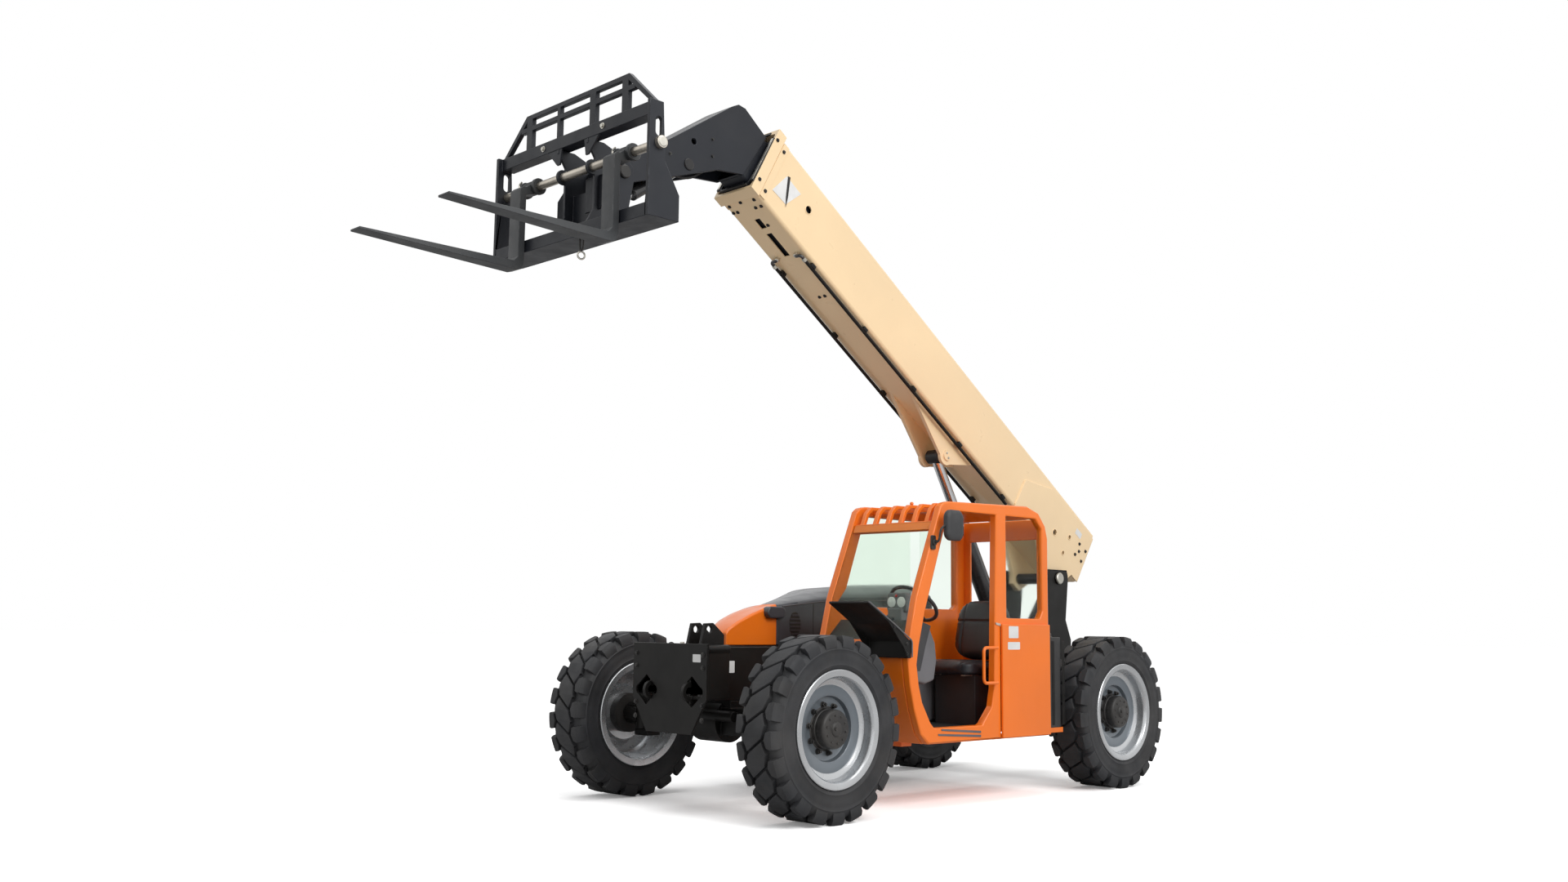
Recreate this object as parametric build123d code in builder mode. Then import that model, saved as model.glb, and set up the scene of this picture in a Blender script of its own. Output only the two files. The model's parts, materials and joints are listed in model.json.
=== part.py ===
"""Telehandler with a raised three-section boom and a shaft-mounted fork carriage.

Millimetres. +X points forward, +Y to the machine's left (the cab side), +Z up; the floor is Z = 0.
Sketch planes are placed by side(), level() and front(), which are measured from the point on the
floor midway between the axles, and by boom_plane(), which lies along the raised boom.
"""

import os
from math import cos, hypot, pi, radians, sin

from build123d import *

os.makedirs("parts", exist_ok=True)

# ---------------------------------------------------------------- driving dimensions
MID_AXLE_X = -803.0       # midway between the axles, from the origin under the middle of the outline
WHEELBASE = 3500.0
TRACK = 2100.0            # between the tyres' centre planes
RUNNING_GAP = 0.05        # radial play of a pin in its bore
FACE_GAP = 0.3            # play between faces that slide on each other

# wheels
TYRE_RADIUS = 630.0
TYRE_WIDTH = 370.0
TREAD_DEPTH = 34.0
TREAD_BLOCKS = 21         # blocks in each of the tread's three rows
BLOCK_GROOVE = 14.0
RIM_FLANGE_RADIUS = 400.0
HUB_RADIUS = 133.0
HUB_FACE = 153.0          # hub's outer face, outboard of the tyre's centre plane
DISC_FACE = 45.0          # wheel disc's outer face, where the nuts bear
DISC_THICKNESS = 14.0

# axles and steering
KINGPIN_Y = TRACK / 2 - 190
KINGPIN_RADIUS = 28.0
AXLE_BEAM = 190.0
YOKE_OPENING = 230.0      # between the two arms that hold the knuckle
YOKE_ARM = 44.0
SPINDLE_RADIUS = 45.0

# chassis
RAIL_OUTER_Y = 240.0
RAIL_PLATE = 30.0
RAIL_TOP = 1160.0
RAIL_AXLE_BOTTOM = 780.0
RAIL_BELLY = 430.0
FRONT_X = 2220.0
FRONT_PLATE_HALF = 405.0
FRONT_BOX_DEPTH = 230.0
FRONT_PLATE = 22.0
EYE_PLATE = 28.0
EYE_Y = 210.0
EYE_Z = 850.0
EYE_RADIUS = 68.0
EYE_BORE = 32.0
LEAF_Y = 250.0            # middle of the pointed openings that the eyes stand in
LEAF_HALF_WIDTH = 118.0
LEAF_HALF_HEIGHT = 108.0
REAR_X = -2400.0
TOWER_PLATE = 32.0
TOWER_RADIUS = 165.0

# boom
BOOM_ANGLE = 34.0
PIVOT_X = -2200.0
PIVOT_Z = 1780.0
PIVOT_PIN_RADIUS = 50.0
BOOM_LOW = 204.0          # boom's underside above the pivot, square to the boom
BOOM_REAR = -340.0        # boom's rear end along the boom from the pivot
BOOM_FRONT = 4815.0       # collar's front face along the boom from the pivot
BASE_DEPTH = 560.0
BASE_WIDTH = 400.0
BOOM_WALL = 12.0
CHEEK_PLATE = 14.0
COLLAR_LENGTH = 95.0
COLLAR_STEP = 16.0
COLLAR_LEAN = 56.0        # how far the collar's top edge is ahead of its bottom edge
PAD_LENGTH = 140.0
PAD_WIDTH = 200.0
BEND_RADIUS = 30.0        # outside radius of the sections' long edges
PIVOT_EAR_PLATE = 50.0
SIDE_HOLES = ((4267, 510, 34), (207, 378, 30), (-10, 484, 22), (-2, 297, 20))  # along, up, radius
UNDERSIDE_SLOTS = ((4460, 100, 60), (4225, 250, 60))  # along, length, width
PIPE_REAR = 900.0
PIPE_FRONT = 4050.0
PIPE_Y = 168.0
PIPE_DROP = 30.0
PIPE_RADIUS = 14.0
PIPE_CLAMPS = 5

# lift cylinder, between the rails and under the boom
LIFT_BASE_X = -1736.0
LIFT_BASE_Z = 1170.0
LIFT_EYE_ALONG = 1764.0   # rod's eye, in the boom's own directions from the pivot
LIFT_EYE_UP = 40.0
LIFT_BARREL_RADIUS = 80.0
LIFT_ROD_RADIUS = 45.0
LIFT_BARREL_LENGTH = 1230.0   # from the base pin
LIFT_ROD_LENGTH = 1340.0      # back from the rod's eye, most of it inside the barrel
LIFT_EYE_RADIUS = 46.0
LIFT_EYE_WIDTH = 150.0
LIFT_EAR_GAP = 190.0
LIFT_EAR_PLATE = 32.0
LIFT_EAR_RADIUS = 85.0
LIFT_PIN_RADIUS = 32.0

# boom head
HEAD_HALF_WIDTH = 150.0
HEAD_PLATE = 24.0
HEAD_HOLE_X, HEAD_HOLE_Z = 2213.0, 4869.0
HEAD_HOLE_RADIUS = 24.0
TILT_BASE_X = 2260.0
TILT_BASE_Z = 4680.0
CARRIAGE_PIVOT_X = 2880.0
CARRIAGE_PIVOT_Z = 4470.0
TILT_LUG_X = 2915.0
TILT_LUG_Z = 4222.0
CARRIAGE_PIN_RADIUS = 32.0
TILT_BARREL_RADIUS = 52.0
TILT_ROD_RADIUS = 28.0
TILT_EYE_RADIUS = 46.0
TILT_EYE_WIDTH = 60.0
TILT_PIN_RADIUS = 22.0
TILT_BARREL_LENGTH = 500.0
TILT_ROD_LENGTH = 500.0
TILT_LUG_GAP = 80.0       # between the two lug plates on the carriage
TILT_LUG_PLATE = 22.0

# carriage and forks
CARRIAGE_HALF = 900.0
SLOT_WIDTH = 52.0         # oval slot in the end plates, above the shaft
END_PLATE = 30.0
COUPLER_Y = 160.0
COUPLER_PLATE = 22.0
CARRIAGE_TOP = 4725.0
CARRIAGE_BOTTOM = 3940.0
BEAM = 90.0
WEB_X = 3040.0
SHAFT_X = 3150.0
SHAFT_Z = 4440.0
SHAFT_RADIUS = 30.0
FORK_BACK_X = 3240.0
FORK_THICKNESS = 55.0
FORK_WIDTH = 125.0
FORK_CENTRE_Y = 545.0
FORK_SHANK_TOP = 4420.0
FORK_HEEL_Z = 3802.0
FORK_TOP_Z = 3866.0
FORK_LENGTH = 1219.0
FORK_TIP_THICKNESS = 15.0
BACKREST_HEIGHT = 266.0   # above the carriage's top beam
BACKREST_HALF = 600.0
BACKREST_BAR = 36.0

# cab
CAB_LEFT = 1170.0
CAB_RIGHT = 262.0
CAB_FRAME = 64.0          # thickness of the side frames across the machine
CAB_REAR_X = -760.0
CAB_SILL_Z = 478.0
CAB_ROOF_Z = 2286.0
CAB_BELT_Z = 1396.0
PANEL = 22.0
GLASS = 8.0
FLOOR_Z = 560.0
ROOF_BARS = 6
ROOF_BAR = 36.0
STEERING_WHEEL_RADIUS = 185.0
MIRROR_ARM = 9.0
MUDGUARD_OUTER = 1200.0
MUDGUARD_WIDTH = 380.0
REAR_TYRE_FRONT = TYRE_RADIUS - WHEELBASE / 2
TANK_FRONT_X = CAB_REAR_X - 20
TANK_REAR_X = REAR_TYRE_FRONT + 105
TANK_INNER = 420.0
TANK_OUTER = 1120.0
TANK_LOW = 530.0
TANK_HEIGHT = 720.0

# engine side
HOOD_INNER = -300.0
HOOD_OUTER = -1130.0
HOOD_FRONT_X = 860.0
HOOD_REAR_X = -1080.0
HOOD_WALL = 15.0
HOOD_BASE_Z = 1165.0
HOOD_EDGE = 55.0          # radius of the hood's long upper edges
VENT_X, VENT_Z = 655.0, 1330.0
VENT_HALF_LENGTH = 62.0
VENT_HALF_HEIGHT = 96.0
VENT_SLATS = 6
VENT_SLAT = 10.0
GRILLE_X, GRILLE_Z = 0.0, 1390.0
GRILLE_LENGTH = 240.0
GRILLE_BAR = 60.0
GRILLE_PITCH = 44.0
GRILLE_COLUMNS = 3
GRILLE_ROWS = 6
INTAKE_LENGTH = 200.0
INTAKE_HEIGHT = 92.0
INTAKE_WIDTH = 50.0
TRAY_Z = 470.0
TRAY_PLATE = 26.0
SKIRT = 20.0              # engine bay's side and end walls
BAY_REAR_X = REAR_TYRE_FRONT + 120
ENGINE_LENGTH = 1200.0
ENGINE_WIDTH = 600.0
ENGINE_HEIGHT = 820.0
ENGINE_X = -40.0
ENGINE_Y = -630.0

RISE = radians(BOOM_ANGLE)
WHEELS = (  # name, end of the machine (+1 front), side of the machine (+1 left)
    ("front_left", 1, 1),
    ("front_right", 1, -1),
    ("rear_left", -1, 1),
    ("rear_right", -1, -1),
)
SIDES = (("left", 1), ("right", -1))


# ---------------------------------------------------------------- planes and small helpers
def side(y):
    """Upright plane along the machine at Y = y: local x forward, local y up, normal to the right."""
    return Plane(origin=(MID_AXLE_X, y, 0), x_dir=(1, 0, 0), z_dir=(0, -1, 0))


def level(z):
    """Level plane at Z = z: local x forward, local y to the left."""
    return Plane(origin=(MID_AXLE_X, 0, z), x_dir=(1, 0, 0), z_dir=(0, 0, 1))


def front(x):
    """Upright plane across the machine: local x to the left, local y up, normal forward."""
    return Plane(origin=(MID_AXLE_X + x, 0, 0), x_dir=(0, 1, 0), z_dir=(1, 0, 0))


def boom_plane(y):
    """Plane along the boom at Y = y, from the boom pivot: local x along the boom, local y up from it."""
    return Plane(
        origin=(MID_AXLE_X + PIVOT_X, y, PIVOT_Z), x_dir=(cos(RISE), 0, sin(RISE)), z_dir=(0, -1, 0)
    )


def across_boom(s):
    """Plane square to the boom at s along it: local x to the left, local y up from the boom."""
    origin = boom_plane(0).from_local_coords(Vector(s, 0, 0))
    return Plane(origin=origin, x_dir=(0, 1, 0), z_dir=(cos(RISE), 0, sin(RISE)))


def outboard(x, y, z, hand):
    """Plane facing away from the machine's middle on the hand side, with local y up."""
    return Plane(origin=(MID_AXLE_X + x, y, z), x_dir=(-hand, 0, 0), z_dir=(0, hand, 0))


def towards(x, z, x_end, z_end):
    """Plane at (x, z) on the machine's centre line, whose normal points at (x_end, z_end)."""
    reach = hypot(x_end - x, z_end - z)
    return Plane(
        origin=(MID_AXLE_X + x, 0, z), x_dir=(0, 1, 0), z_dir=((x_end - x) / reach, 0, (z_end - z) / reach)
    )


def finish(part, name):
    """Label one finished piece and write its STEP file."""
    part.label = name
    export_step(part, f"parts/{name}.step")


def boom_point(along, up):
    """Place along and up from the pivot in the boom's directions, as X and Z from the middle."""
    return (
        PIVOT_X + along * cos(RISE) - up * sin(RISE),
        PIVOT_Z + along * sin(RISE) + up * cos(RISE),
    )


LIFT_EYE_X, LIFT_EYE_Z = boom_point(LIFT_EYE_ALONG, LIFT_EYE_UP)

# ---------------------------------------------------------------- wheels
TYRE_BODY_RADIUS = TYRE_RADIUS - TREAD_DEPTH
HALF_TYRE = TYRE_WIDTH / 2
BEAD_RADIUS = RIM_FLANGE_RADIUS - 44
TYRE_SECTION = (  # radius, distance from the tyre's centre plane, out from the rim's flange
    (RIM_FLANGE_RADIUS + 3, HALF_TYRE - 21), (RIM_FLANGE_RADIUS + 66, HALF_TYRE),
    (TYRE_BODY_RADIUS - 46, HALF_TYRE - 3), (TYRE_BODY_RADIUS, HALF_TYRE - 46),
)
TREAD_SHOULDER = (  # the same for the tread blocks' outer ends
    (TYRE_BODY_RADIUS - 46, HALF_TYRE - 1), (TYRE_BODY_RADIUS + 4, HALF_TYRE - 3),
    (TYRE_RADIUS, HALF_TYRE - 20),
)
TREAD_PITCH = 2 * pi * TYRE_RADIUS / TREAD_BLOCKS
BLOCK_HALF = (TREAD_PITCH - BLOCK_GROOVE) / 2
MIDDLE_BLOCK = (  # across, round the tread
    (-106, -TREAD_PITCH / 4), (-72, -TREAD_PITCH / 4 - BLOCK_HALF), (72, TREAD_PITCH / 4 - BLOCK_HALF),
    (106, TREAD_PITCH / 4), (72, TREAD_PITCH / 4 + BLOCK_HALF), (-72, BLOCK_HALF - TREAD_PITCH / 4),
)
SHOULDER_BLOCK = ((92, 0), (112, -56), (150, -66), (HALF_TYRE, -60), (HALF_TYRE, 60), (150, 66), (112, 56))
TREAD_ROWS = (  # share of a pitch that the row is turned, block's outline, radius of its foot
    (0, SHOULDER_BLOCK, TYRE_BODY_RADIUS - 46),
    (0.25, MIDDLE_BLOCK, TYRE_BODY_RADIUS - 14),
    (0.5, [(-across, along) for across, along in SHOULDER_BLOCK], TYRE_BODY_RADIUS - 46),
)
wheel_form_plane = Plane(origin=(0, 0, 0), x_dir=(-1, 0, 0), z_dir=(0, 1, 0))
wheel_section_plane = Plane(origin=(0, 0, 0), x_dir=(0, 0, 1), z_dir=(-1, 0, 0))


def outline(points):
    """Straight-sided closed outline through the given corners of the sketch."""
    Polygon(*points, align=None)


def both_sides(section):
    """A wheel's half section with its mirror image, from one side face to the other."""
    return [*section, *[(radius, -y) for radius, y in reversed(section)]]


def wheel_radial_plane(turn, radius):
    """Plane square to the wheel's radius at turn degrees from straight down: local x outboard."""
    out = Vector(sin(radians(turn)), 0, -cos(radians(turn)))
    return Plane(origin=out * radius, x_dir=(0, 1, 0), z_dir=out)


with BuildPart() as tread_form:
    for n in range(TREAD_BLOCKS):
        for part_turn, block, root in TREAD_ROWS:
            with BuildSketch(wheel_radial_plane(360.0 * (n + part_turn) / TREAD_BLOCKS, root)):
                outline(block)
            extrude(amount=TYRE_RADIUS + 10 - root)
    for radius, y in both_sides(TREAD_SHOULDER):
        with BuildSketch(wheel_form_plane.offset(y)):
            RegularPolygon(radius, 2 * TREAD_BLOCKS, rotation=90)
    loft(ruled=True, mode=Mode.INTERSECT)

with BuildPart() as tyre_form:
    for radius, y in both_sides(TYRE_SECTION):
        with BuildSketch(wheel_form_plane.offset(y)):
            RegularPolygon(radius, 2 * TREAD_BLOCKS, rotation=90)
    loft(ruled=True)
    with BuildSketch(wheel_section_plane):
        outline([(0, HALF_TYRE), *both_sides((
            (BEAD_RADIUS + 8, HALF_TYRE), (BEAD_RADIUS + 8, HALF_TYRE - 21), (BEAD_RADIUS, HALF_TYRE - 37),
        )), (0, -HALF_TYRE)])
    revolve(axis=Axis.Y, mode=Mode.SUBTRACT)
    add(tread_form.part)

with BuildPart() as rim_form:
    barrel = RIM_FLANGE_RADIUS - 48
    with BuildSketch(wheel_section_plane):
        outline([
            (RIM_FLANGE_RADIUS, HALF_TYRE - 7), (RIM_FLANGE_RADIUS, HALF_TYRE - 18),
            (barrel + 12, HALF_TYRE - 20), (barrel + 3, HALF_TYRE - 38), (barrel - 34, 62),
            (barrel - 34, -62), (barrel + 3, 38 - HALF_TYRE), (barrel + 12, 20 - HALF_TYRE),
            (RIM_FLANGE_RADIUS, 18 - HALF_TYRE), (RIM_FLANGE_RADIUS, 7 - HALF_TYRE),
            (barrel - 2, 10 - HALF_TYRE), (barrel - 14, 40 - HALF_TYRE), (barrel - 46, -58),
            (barrel - 46, 66), (215, DISC_FACE + 26), (200, DISC_FACE - DISC_THICKNESS),
            (HUB_RADIUS + 1, DISC_FACE - DISC_THICKNESS), (HUB_RADIUS + 1, DISC_FACE),
            (206, DISC_FACE), (222, DISC_FACE + 40), (barrel - 46, 84), (barrel - 16, 94),
            (barrel - 12, HALF_TYRE - 42), (barrel, HALF_TYRE - 10),
        ])
    revolve(axis=Axis.Y)
    with BuildSketch(wheel_section_plane):
        outline([
            (SPINDLE_RADIUS + RUNNING_GAP, -40), (195, -40), (205, DISC_FACE - DISC_THICKNESS),
            (HUB_RADIUS, DISC_FACE), (HUB_RADIUS, HUB_FACE - 12), (HUB_RADIUS - 12, HUB_FACE),
            (52, HUB_FACE), (48, HUB_FACE + 9), (0, HUB_FACE + 9), (0, 24),
            (SPINDLE_RADIUS + RUNNING_GAP, 24),
        ])
    revolve(axis=Axis.Y)

WHEEL_FORMS = (("tyre", tyre_form.part), ("rim", rim_form.part))
for wheel_name, end, hand in WHEELS:
    for piece_name, form in WHEEL_FORMS:
        with BuildPart() as wheel_piece:
            with Locations((MID_AXLE_X + end * WHEELBASE / 2, hand * TRACK / 2, TYRE_RADIUS)):
                add(form if hand > 0 else mirror(form, about=Plane.XZ, mode=Mode.PRIVATE))
        finish(wheel_piece.part, f"{wheel_name}_{piece_name}")

# ---------------------------------------------------------------- axles, knuckles and steering
YOKE_REACH = KINGPIN_RADIUS + 34
KNUCKLE_HEIGHT = YOKE_OPENING - 2 * FACE_GAP
AXLE_END_Y = KINGPIN_Y - YOKE_REACH - 34

for axle_name, end in (("front_axle", 1), ("rear_axle", -1)):
    axle_x = end * WHEELBASE / 2
    axle_centre = (MID_AXLE_X + axle_x, 0, TYRE_RADIUS)
    with BuildPart() as axle:
        with Locations(axle_centre):
            Box(AXLE_BEAM, 2 * AXLE_END_Y - 120, AXLE_BEAM)
            Cylinder(AXLE_BEAM * 0.82, 300, rotation=(90, 0, 0))
            Cylinder(AXLE_BEAM * 0.42, 2 * AXLE_END_Y, rotation=(90, 0, 0))
        for hand in (1, -1):
            with BuildSketch(level(TYRE_RADIUS - YOKE_OPENING / 2 - YOKE_ARM)):
                with Locations((axle_x, hand * KINGPIN_Y)):
                    Circle(YOKE_REACH)
                with Locations((axle_x, hand * (AXLE_END_Y + KINGPIN_Y) / 2)):
                    Rectangle(2 * YOKE_REACH, KINGPIN_Y - AXLE_END_Y)
                with Locations((axle_x, hand * (AXLE_END_Y - 20))):
                    Rectangle(2 * YOKE_REACH, 40)
            extrude(amount=YOKE_OPENING + 2 * YOKE_ARM)
        with BuildSketch(level(TYRE_RADIUS - YOKE_OPENING / 2)):
            for hand in (1, -1):
                with Locations((axle_x, hand * (AXLE_END_Y + 90 + YOKE_REACH))):
                    Rectangle(3 * YOKE_REACH, 2 * YOKE_REACH + 180)
        extrude(amount=YOKE_OPENING, mode=Mode.SUBTRACT)
        for hand in (1, -1):
            with Locations((MID_AXLE_X + axle_x, hand * KINGPIN_Y, TYRE_RADIUS)):
                Cylinder(KINGPIN_RADIUS + RUNNING_GAP, YOKE_OPENING + 4 * YOKE_ARM, mode=Mode.SUBTRACT)
        # steering cylinder across the front of the beam, and the saddle under the frame rails
        with Locations((MID_AXLE_X + axle_x + end * (AXLE_BEAM / 2 + 26), 0, TYRE_RADIUS + 40)):
            Cylinder(38, 640, rotation=(90, 0, 0))
        with Locations((MID_AXLE_X + axle_x, 0, (TYRE_RADIUS + RAIL_AXLE_BOTTOM) / 2)):
            Box(AXLE_BEAM - 10, 2 * RAIL_OUTER_Y, RAIL_AXLE_BOTTOM - TYRE_RADIUS)
    finish(axle.part, axle_name)

for wheel_name, end, hand in WHEELS:
    knuckle_x = end * WHEELBASE / 2
    spindle_end = TRACK / 2 + 20
    with BuildPart() as knuckle:
        with Locations((MID_AXLE_X + knuckle_x, hand * KINGPIN_Y, TYRE_RADIUS)):
            Cylinder(KINGPIN_RADIUS, YOKE_OPENING + 2 * YOKE_ARM)
            Cylinder(YOKE_REACH - 4, KNUCKLE_HEIGHT)
        with BuildSketch(outboard(knuckle_x, hand * KINGPIN_Y, TYRE_RADIUS, hand)):
            Circle(YOKE_REACH + 18)
        extrude(amount=TRACK / 2 - 40 - FACE_GAP - KINGPIN_Y)
        with BuildSketch(outboard(knuckle_x, hand * KINGPIN_Y, TYRE_RADIUS, hand)):
            Circle(SPINDLE_RADIUS)
        extrude(amount=spindle_end - KINGPIN_Y)
    finish(knuckle.part, f"{wheel_name}_knuckle")

# ---------------------------------------------------------------- chassis
for side_name, hand in SIDES:
    with BuildPart() as rail:
        with BuildSketch(side(hand * RAIL_OUTER_Y)):
            outline([
                (FRONT_X - FRONT_BOX_DEPTH, RAIL_AXLE_BOTTOM), (FRONT_X - FRONT_BOX_DEPTH, RAIL_TOP),
                (REAR_X, RAIL_TOP), (REAR_X, RAIL_AXLE_BOTTOM - 80), (-2060, RAIL_AXLE_BOTTOM),
                (-1440, RAIL_AXLE_BOTTOM), (-980, RAIL_BELLY), (980, RAIL_BELLY),
                (1440, RAIL_AXLE_BOTTOM),
            ])
        extrude(amount=hand * RAIL_PLATE)
    finish(rail.part, f"frame_rail_{side_name}")

    # upright plates outside the rails, which carry the boom's pivot pin between them
    with BuildPart() as tower:
        with BuildSketch(side(hand * (RAIL_OUTER_Y + TOWER_PLATE))):
            with BuildLine():
                lean = (PIVOT_X + TOWER_RADIUS * cos(radians(8)), PIVOT_Z - TOWER_RADIUS * sin(radians(8)))
                heel = (PIVOT_X - TOWER_RADIUS * cos(radians(12)), PIVOT_Z - TOWER_RADIUS * sin(radians(12)))
                Line((-1560, RAIL_TOP - 260), (-1560, RAIL_TOP))
                Line((-1560, RAIL_TOP), lean)
                ThreePointArc(lean, (PIVOT_X, PIVOT_Z + TOWER_RADIUS), heel)
                Line(heel, (REAR_X + 80, 1400))
                Line((REAR_X + 80, 1400), (REAR_X, RAIL_TOP + 60))
                Line((REAR_X, RAIL_TOP + 60), (REAR_X, RAIL_TOP - 260))
                Line((REAR_X, RAIL_TOP - 260), (-1560, RAIL_TOP - 260))
            make_face()
            with Locations((PIVOT_X, PIVOT_Z)):
                Circle(PIVOT_PIN_RADIUS, mode=Mode.SUBTRACT)
        extrude(amount=hand * TOWER_PLATE)
    finish(tower.part, f"boom_tower_{side_name}")

with BuildPart() as pivot_pin:
    with BuildSketch(side(RAIL_OUTER_Y + TOWER_PLATE + 14)):
        with Locations((PIVOT_X, PIVOT_Z)):
            Circle(PIVOT_PIN_RADIUS)
    extrude(amount=2 * (RAIL_OUTER_Y + TOWER_PLATE + 14))
finish(pivot_pin.part, "boom_pivot_pin")

# front box: closing plate with two pointed openings and an eye in each, a ring behind it, and ears
with BuildPart() as front_box:
    with BuildSketch(front(FRONT_X - FRONT_PLATE)):
        outline([
            (FRONT_PLATE_HALF, RAIL_TOP + 26), (FRONT_PLATE_HALF, 800), (245, 555),
            (-245, 555), (-FRONT_PLATE_HALF, 800), (-FRONT_PLATE_HALF, RAIL_TOP + 26),
        ])
    extrude(amount=FRONT_PLATE)
    with BuildSketch(front(FRONT_X - FRONT_PLATE)):
        for hand in (1, -1):
            leaf_bend = (LEAF_HALF_WIDTH * 0.76, LEAF_HALF_HEIGHT * 0.32)
            with BuildLine(Location((hand * LEAF_Y, EYE_Z))):
                for turned in (1, -1):
                    upper = (turned * leaf_bend[0], leaf_bend[1])
                    lower = (turned * leaf_bend[0], -leaf_bend[1])
                    Line((0, LEAF_HALF_HEIGHT), upper)
                    ThreePointArc(upper, (turned * LEAF_HALF_WIDTH, 0), lower)
                    Line(lower, (0, -LEAF_HALF_HEIGHT))
            make_face()
    extrude(amount=FRONT_PLATE, mode=Mode.SUBTRACT)
    with BuildSketch(front(FRONT_X - FRONT_BOX_DEPTH)):
        with Locations((0, (RAIL_TOP + 800) / 2)):
            Rectangle(2 * FRONT_PLATE_HALF - 30, RAIL_TOP - 800)
            Rectangle(2 * FRONT_PLATE_HALF - 70, RAIL_TOP - 840, mode=Mode.SUBTRACT)
        with Locations((FRONT_PLATE_HALF - 38, RAIL_TOP - 14), (38 - FRONT_PLATE_HALF, RAIL_TOP - 14)):
            Circle(34)
    extrude(amount=FRONT_BOX_DEPTH - FRONT_PLATE)
    for hand in (1, -1):
        with BuildSketch(side(hand * EYE_Y + EYE_PLATE / 2)):
            outline([
                (FRONT_X - 84, EYE_Z + LEAF_HALF_HEIGHT + 20), (FRONT_X - 12, EYE_Z + LEAF_HALF_HEIGHT + 20),
                (FRONT_X - 12, EYE_Z - LEAF_HALF_HEIGHT - 20), (FRONT_X - 84, EYE_Z - LEAF_HALF_HEIGHT - 20),
            ])
            with Locations((FRONT_X - 12, EYE_Z)):
                Circle(EYE_RADIUS)
        extrude(amount=EYE_PLATE)
        with BuildSketch(side(hand * EYE_Y + EYE_PLATE)):
            with Locations((FRONT_X - 8, EYE_Z)):
                Circle(EYE_BORE)
        extrude(amount=2 * EYE_PLATE, mode=Mode.SUBTRACT)
    for y in (330, 190):
        with BuildSketch(side(y)):
            outline([
                (FRONT_X - 10, RAIL_TOP - 10), (FRONT_X - 10, RAIL_TOP + 26),
                (FRONT_X - 45, RAIL_TOP + 168), (FRONT_X - 125, RAIL_TOP + 172),
                (FRONT_X - FRONT_BOX_DEPTH, RAIL_TOP + 90), (FRONT_X - FRONT_BOX_DEPTH, RAIL_TOP - 10),
            ])
            with Locations((FRONT_X - 88, RAIL_TOP + 126)):
                Circle(24, mode=Mode.SUBTRACT)
        extrude(amount=24)
finish(front_box.part, "front_box")

RAIL_INNER_Y = RAIL_OUTER_Y - RAIL_PLATE
with BuildPart() as cross_members:
    for x, z, long, tall in ((1150, 900, 120, 120), (-950, 820, 120, 120), (REAR_X + 110, 960, 26, 340)):
        with Locations((MID_AXLE_X + x, 0, z)):
            Box(long, 2 * RAIL_INNER_Y, tall)
finish(cross_members.part, "cross_members")

# two brackets between the rails and the pin that carries the lift cylinder's base
LIFT_BRACKET_Y = LIFT_EYE_WIDTH / 2 + 5
with BuildPart() as lift_mount:
    for y in (RAIL_INNER_Y, -LIFT_BRACKET_Y):
        with BuildSketch(side(y)):
            with Locations((LIFT_BASE_X, LIFT_BASE_Z)):
                Circle(LIFT_PIN_RADIUS + 38)
            with Locations((LIFT_BASE_X, (LIFT_BASE_Z + 820) / 2)):
                Rectangle(140, LIFT_BASE_Z - 820)
    extrude(amount=RAIL_INNER_Y - LIFT_BRACKET_Y)
    with BuildSketch(side(RAIL_INNER_Y)):
        with Locations((LIFT_BASE_X, LIFT_BASE_Z)):
            Circle(LIFT_PIN_RADIUS)
    extrude(amount=2 * RAIL_INNER_Y)
finish(lift_mount.part, "lift_mount")

# brackets out of the left rail, under the cab and under the tank
with BuildPart() as side_brackets:
    for x in (-560, 560):
        with Locations((MID_AXLE_X + x, RAIL_OUTER_Y, CAB_SILL_Z)):
            Box(120, 560, 46, align=(Align.CENTER, Align.MIN, Align.MAX))
    with BuildSketch(level(TANK_LOW - 40)):
        outline([
            (TANK_FRONT_X, RAIL_OUTER_Y), (TANK_FRONT_X, TANK_OUTER), (TANK_REAR_X, TANK_OUTER),
            (TANK_REAR_X, RAIL_OUTER_Y),
        ])
    extrude(amount=40)
finish(side_brackets.part, "side_brackets")

# engine bay: floor tray, outer skirt and the two end walls, and the engine in it
with BuildPart() as engine_bay:
    with BuildSketch(level(TRAY_Z)):
        outline([
            (HOOD_FRONT_X, -RAIL_OUTER_Y), (HOOD_FRONT_X, HOOD_OUTER), (BAY_REAR_X - SKIRT, HOOD_OUTER),
            (BAY_REAR_X - SKIRT, -RAIL_OUTER_Y),
        ])
    extrude(amount=TRAY_PLATE)
    with BuildSketch(side(HOOD_OUTER + SKIRT)):
        outline([
            (HOOD_FRONT_X, TRAY_Z), (HOOD_FRONT_X, HOOD_BASE_Z), (BAY_REAR_X - SKIRT, HOOD_BASE_Z),
            (BAY_REAR_X - SKIRT, TRAY_Z),
        ])
    extrude(amount=SKIRT)
    for x in (HOOD_FRONT_X - SKIRT, BAY_REAR_X - SKIRT):
        with BuildSketch(front(x)):
            outline([
                (-RAIL_OUTER_Y, TRAY_Z), (-RAIL_OUTER_Y, RAIL_TOP), (HOOD_INNER, HOOD_BASE_Z),
                (HOOD_OUTER, HOOD_BASE_Z), (HOOD_OUTER, TRAY_Z),
            ])
        extrude(amount=SKIRT)
finish(engine_bay.part, "engine_bay")

with BuildPart() as engine:
    with BuildSketch(level(TRAY_Z + TRAY_PLATE)):
        with Locations((ENGINE_X, ENGINE_Y)):
            Rectangle(ENGINE_LENGTH, ENGINE_WIDTH)
    extrude(amount=ENGINE_HEIGHT)
finish(engine.part, "engine_block")

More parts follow.
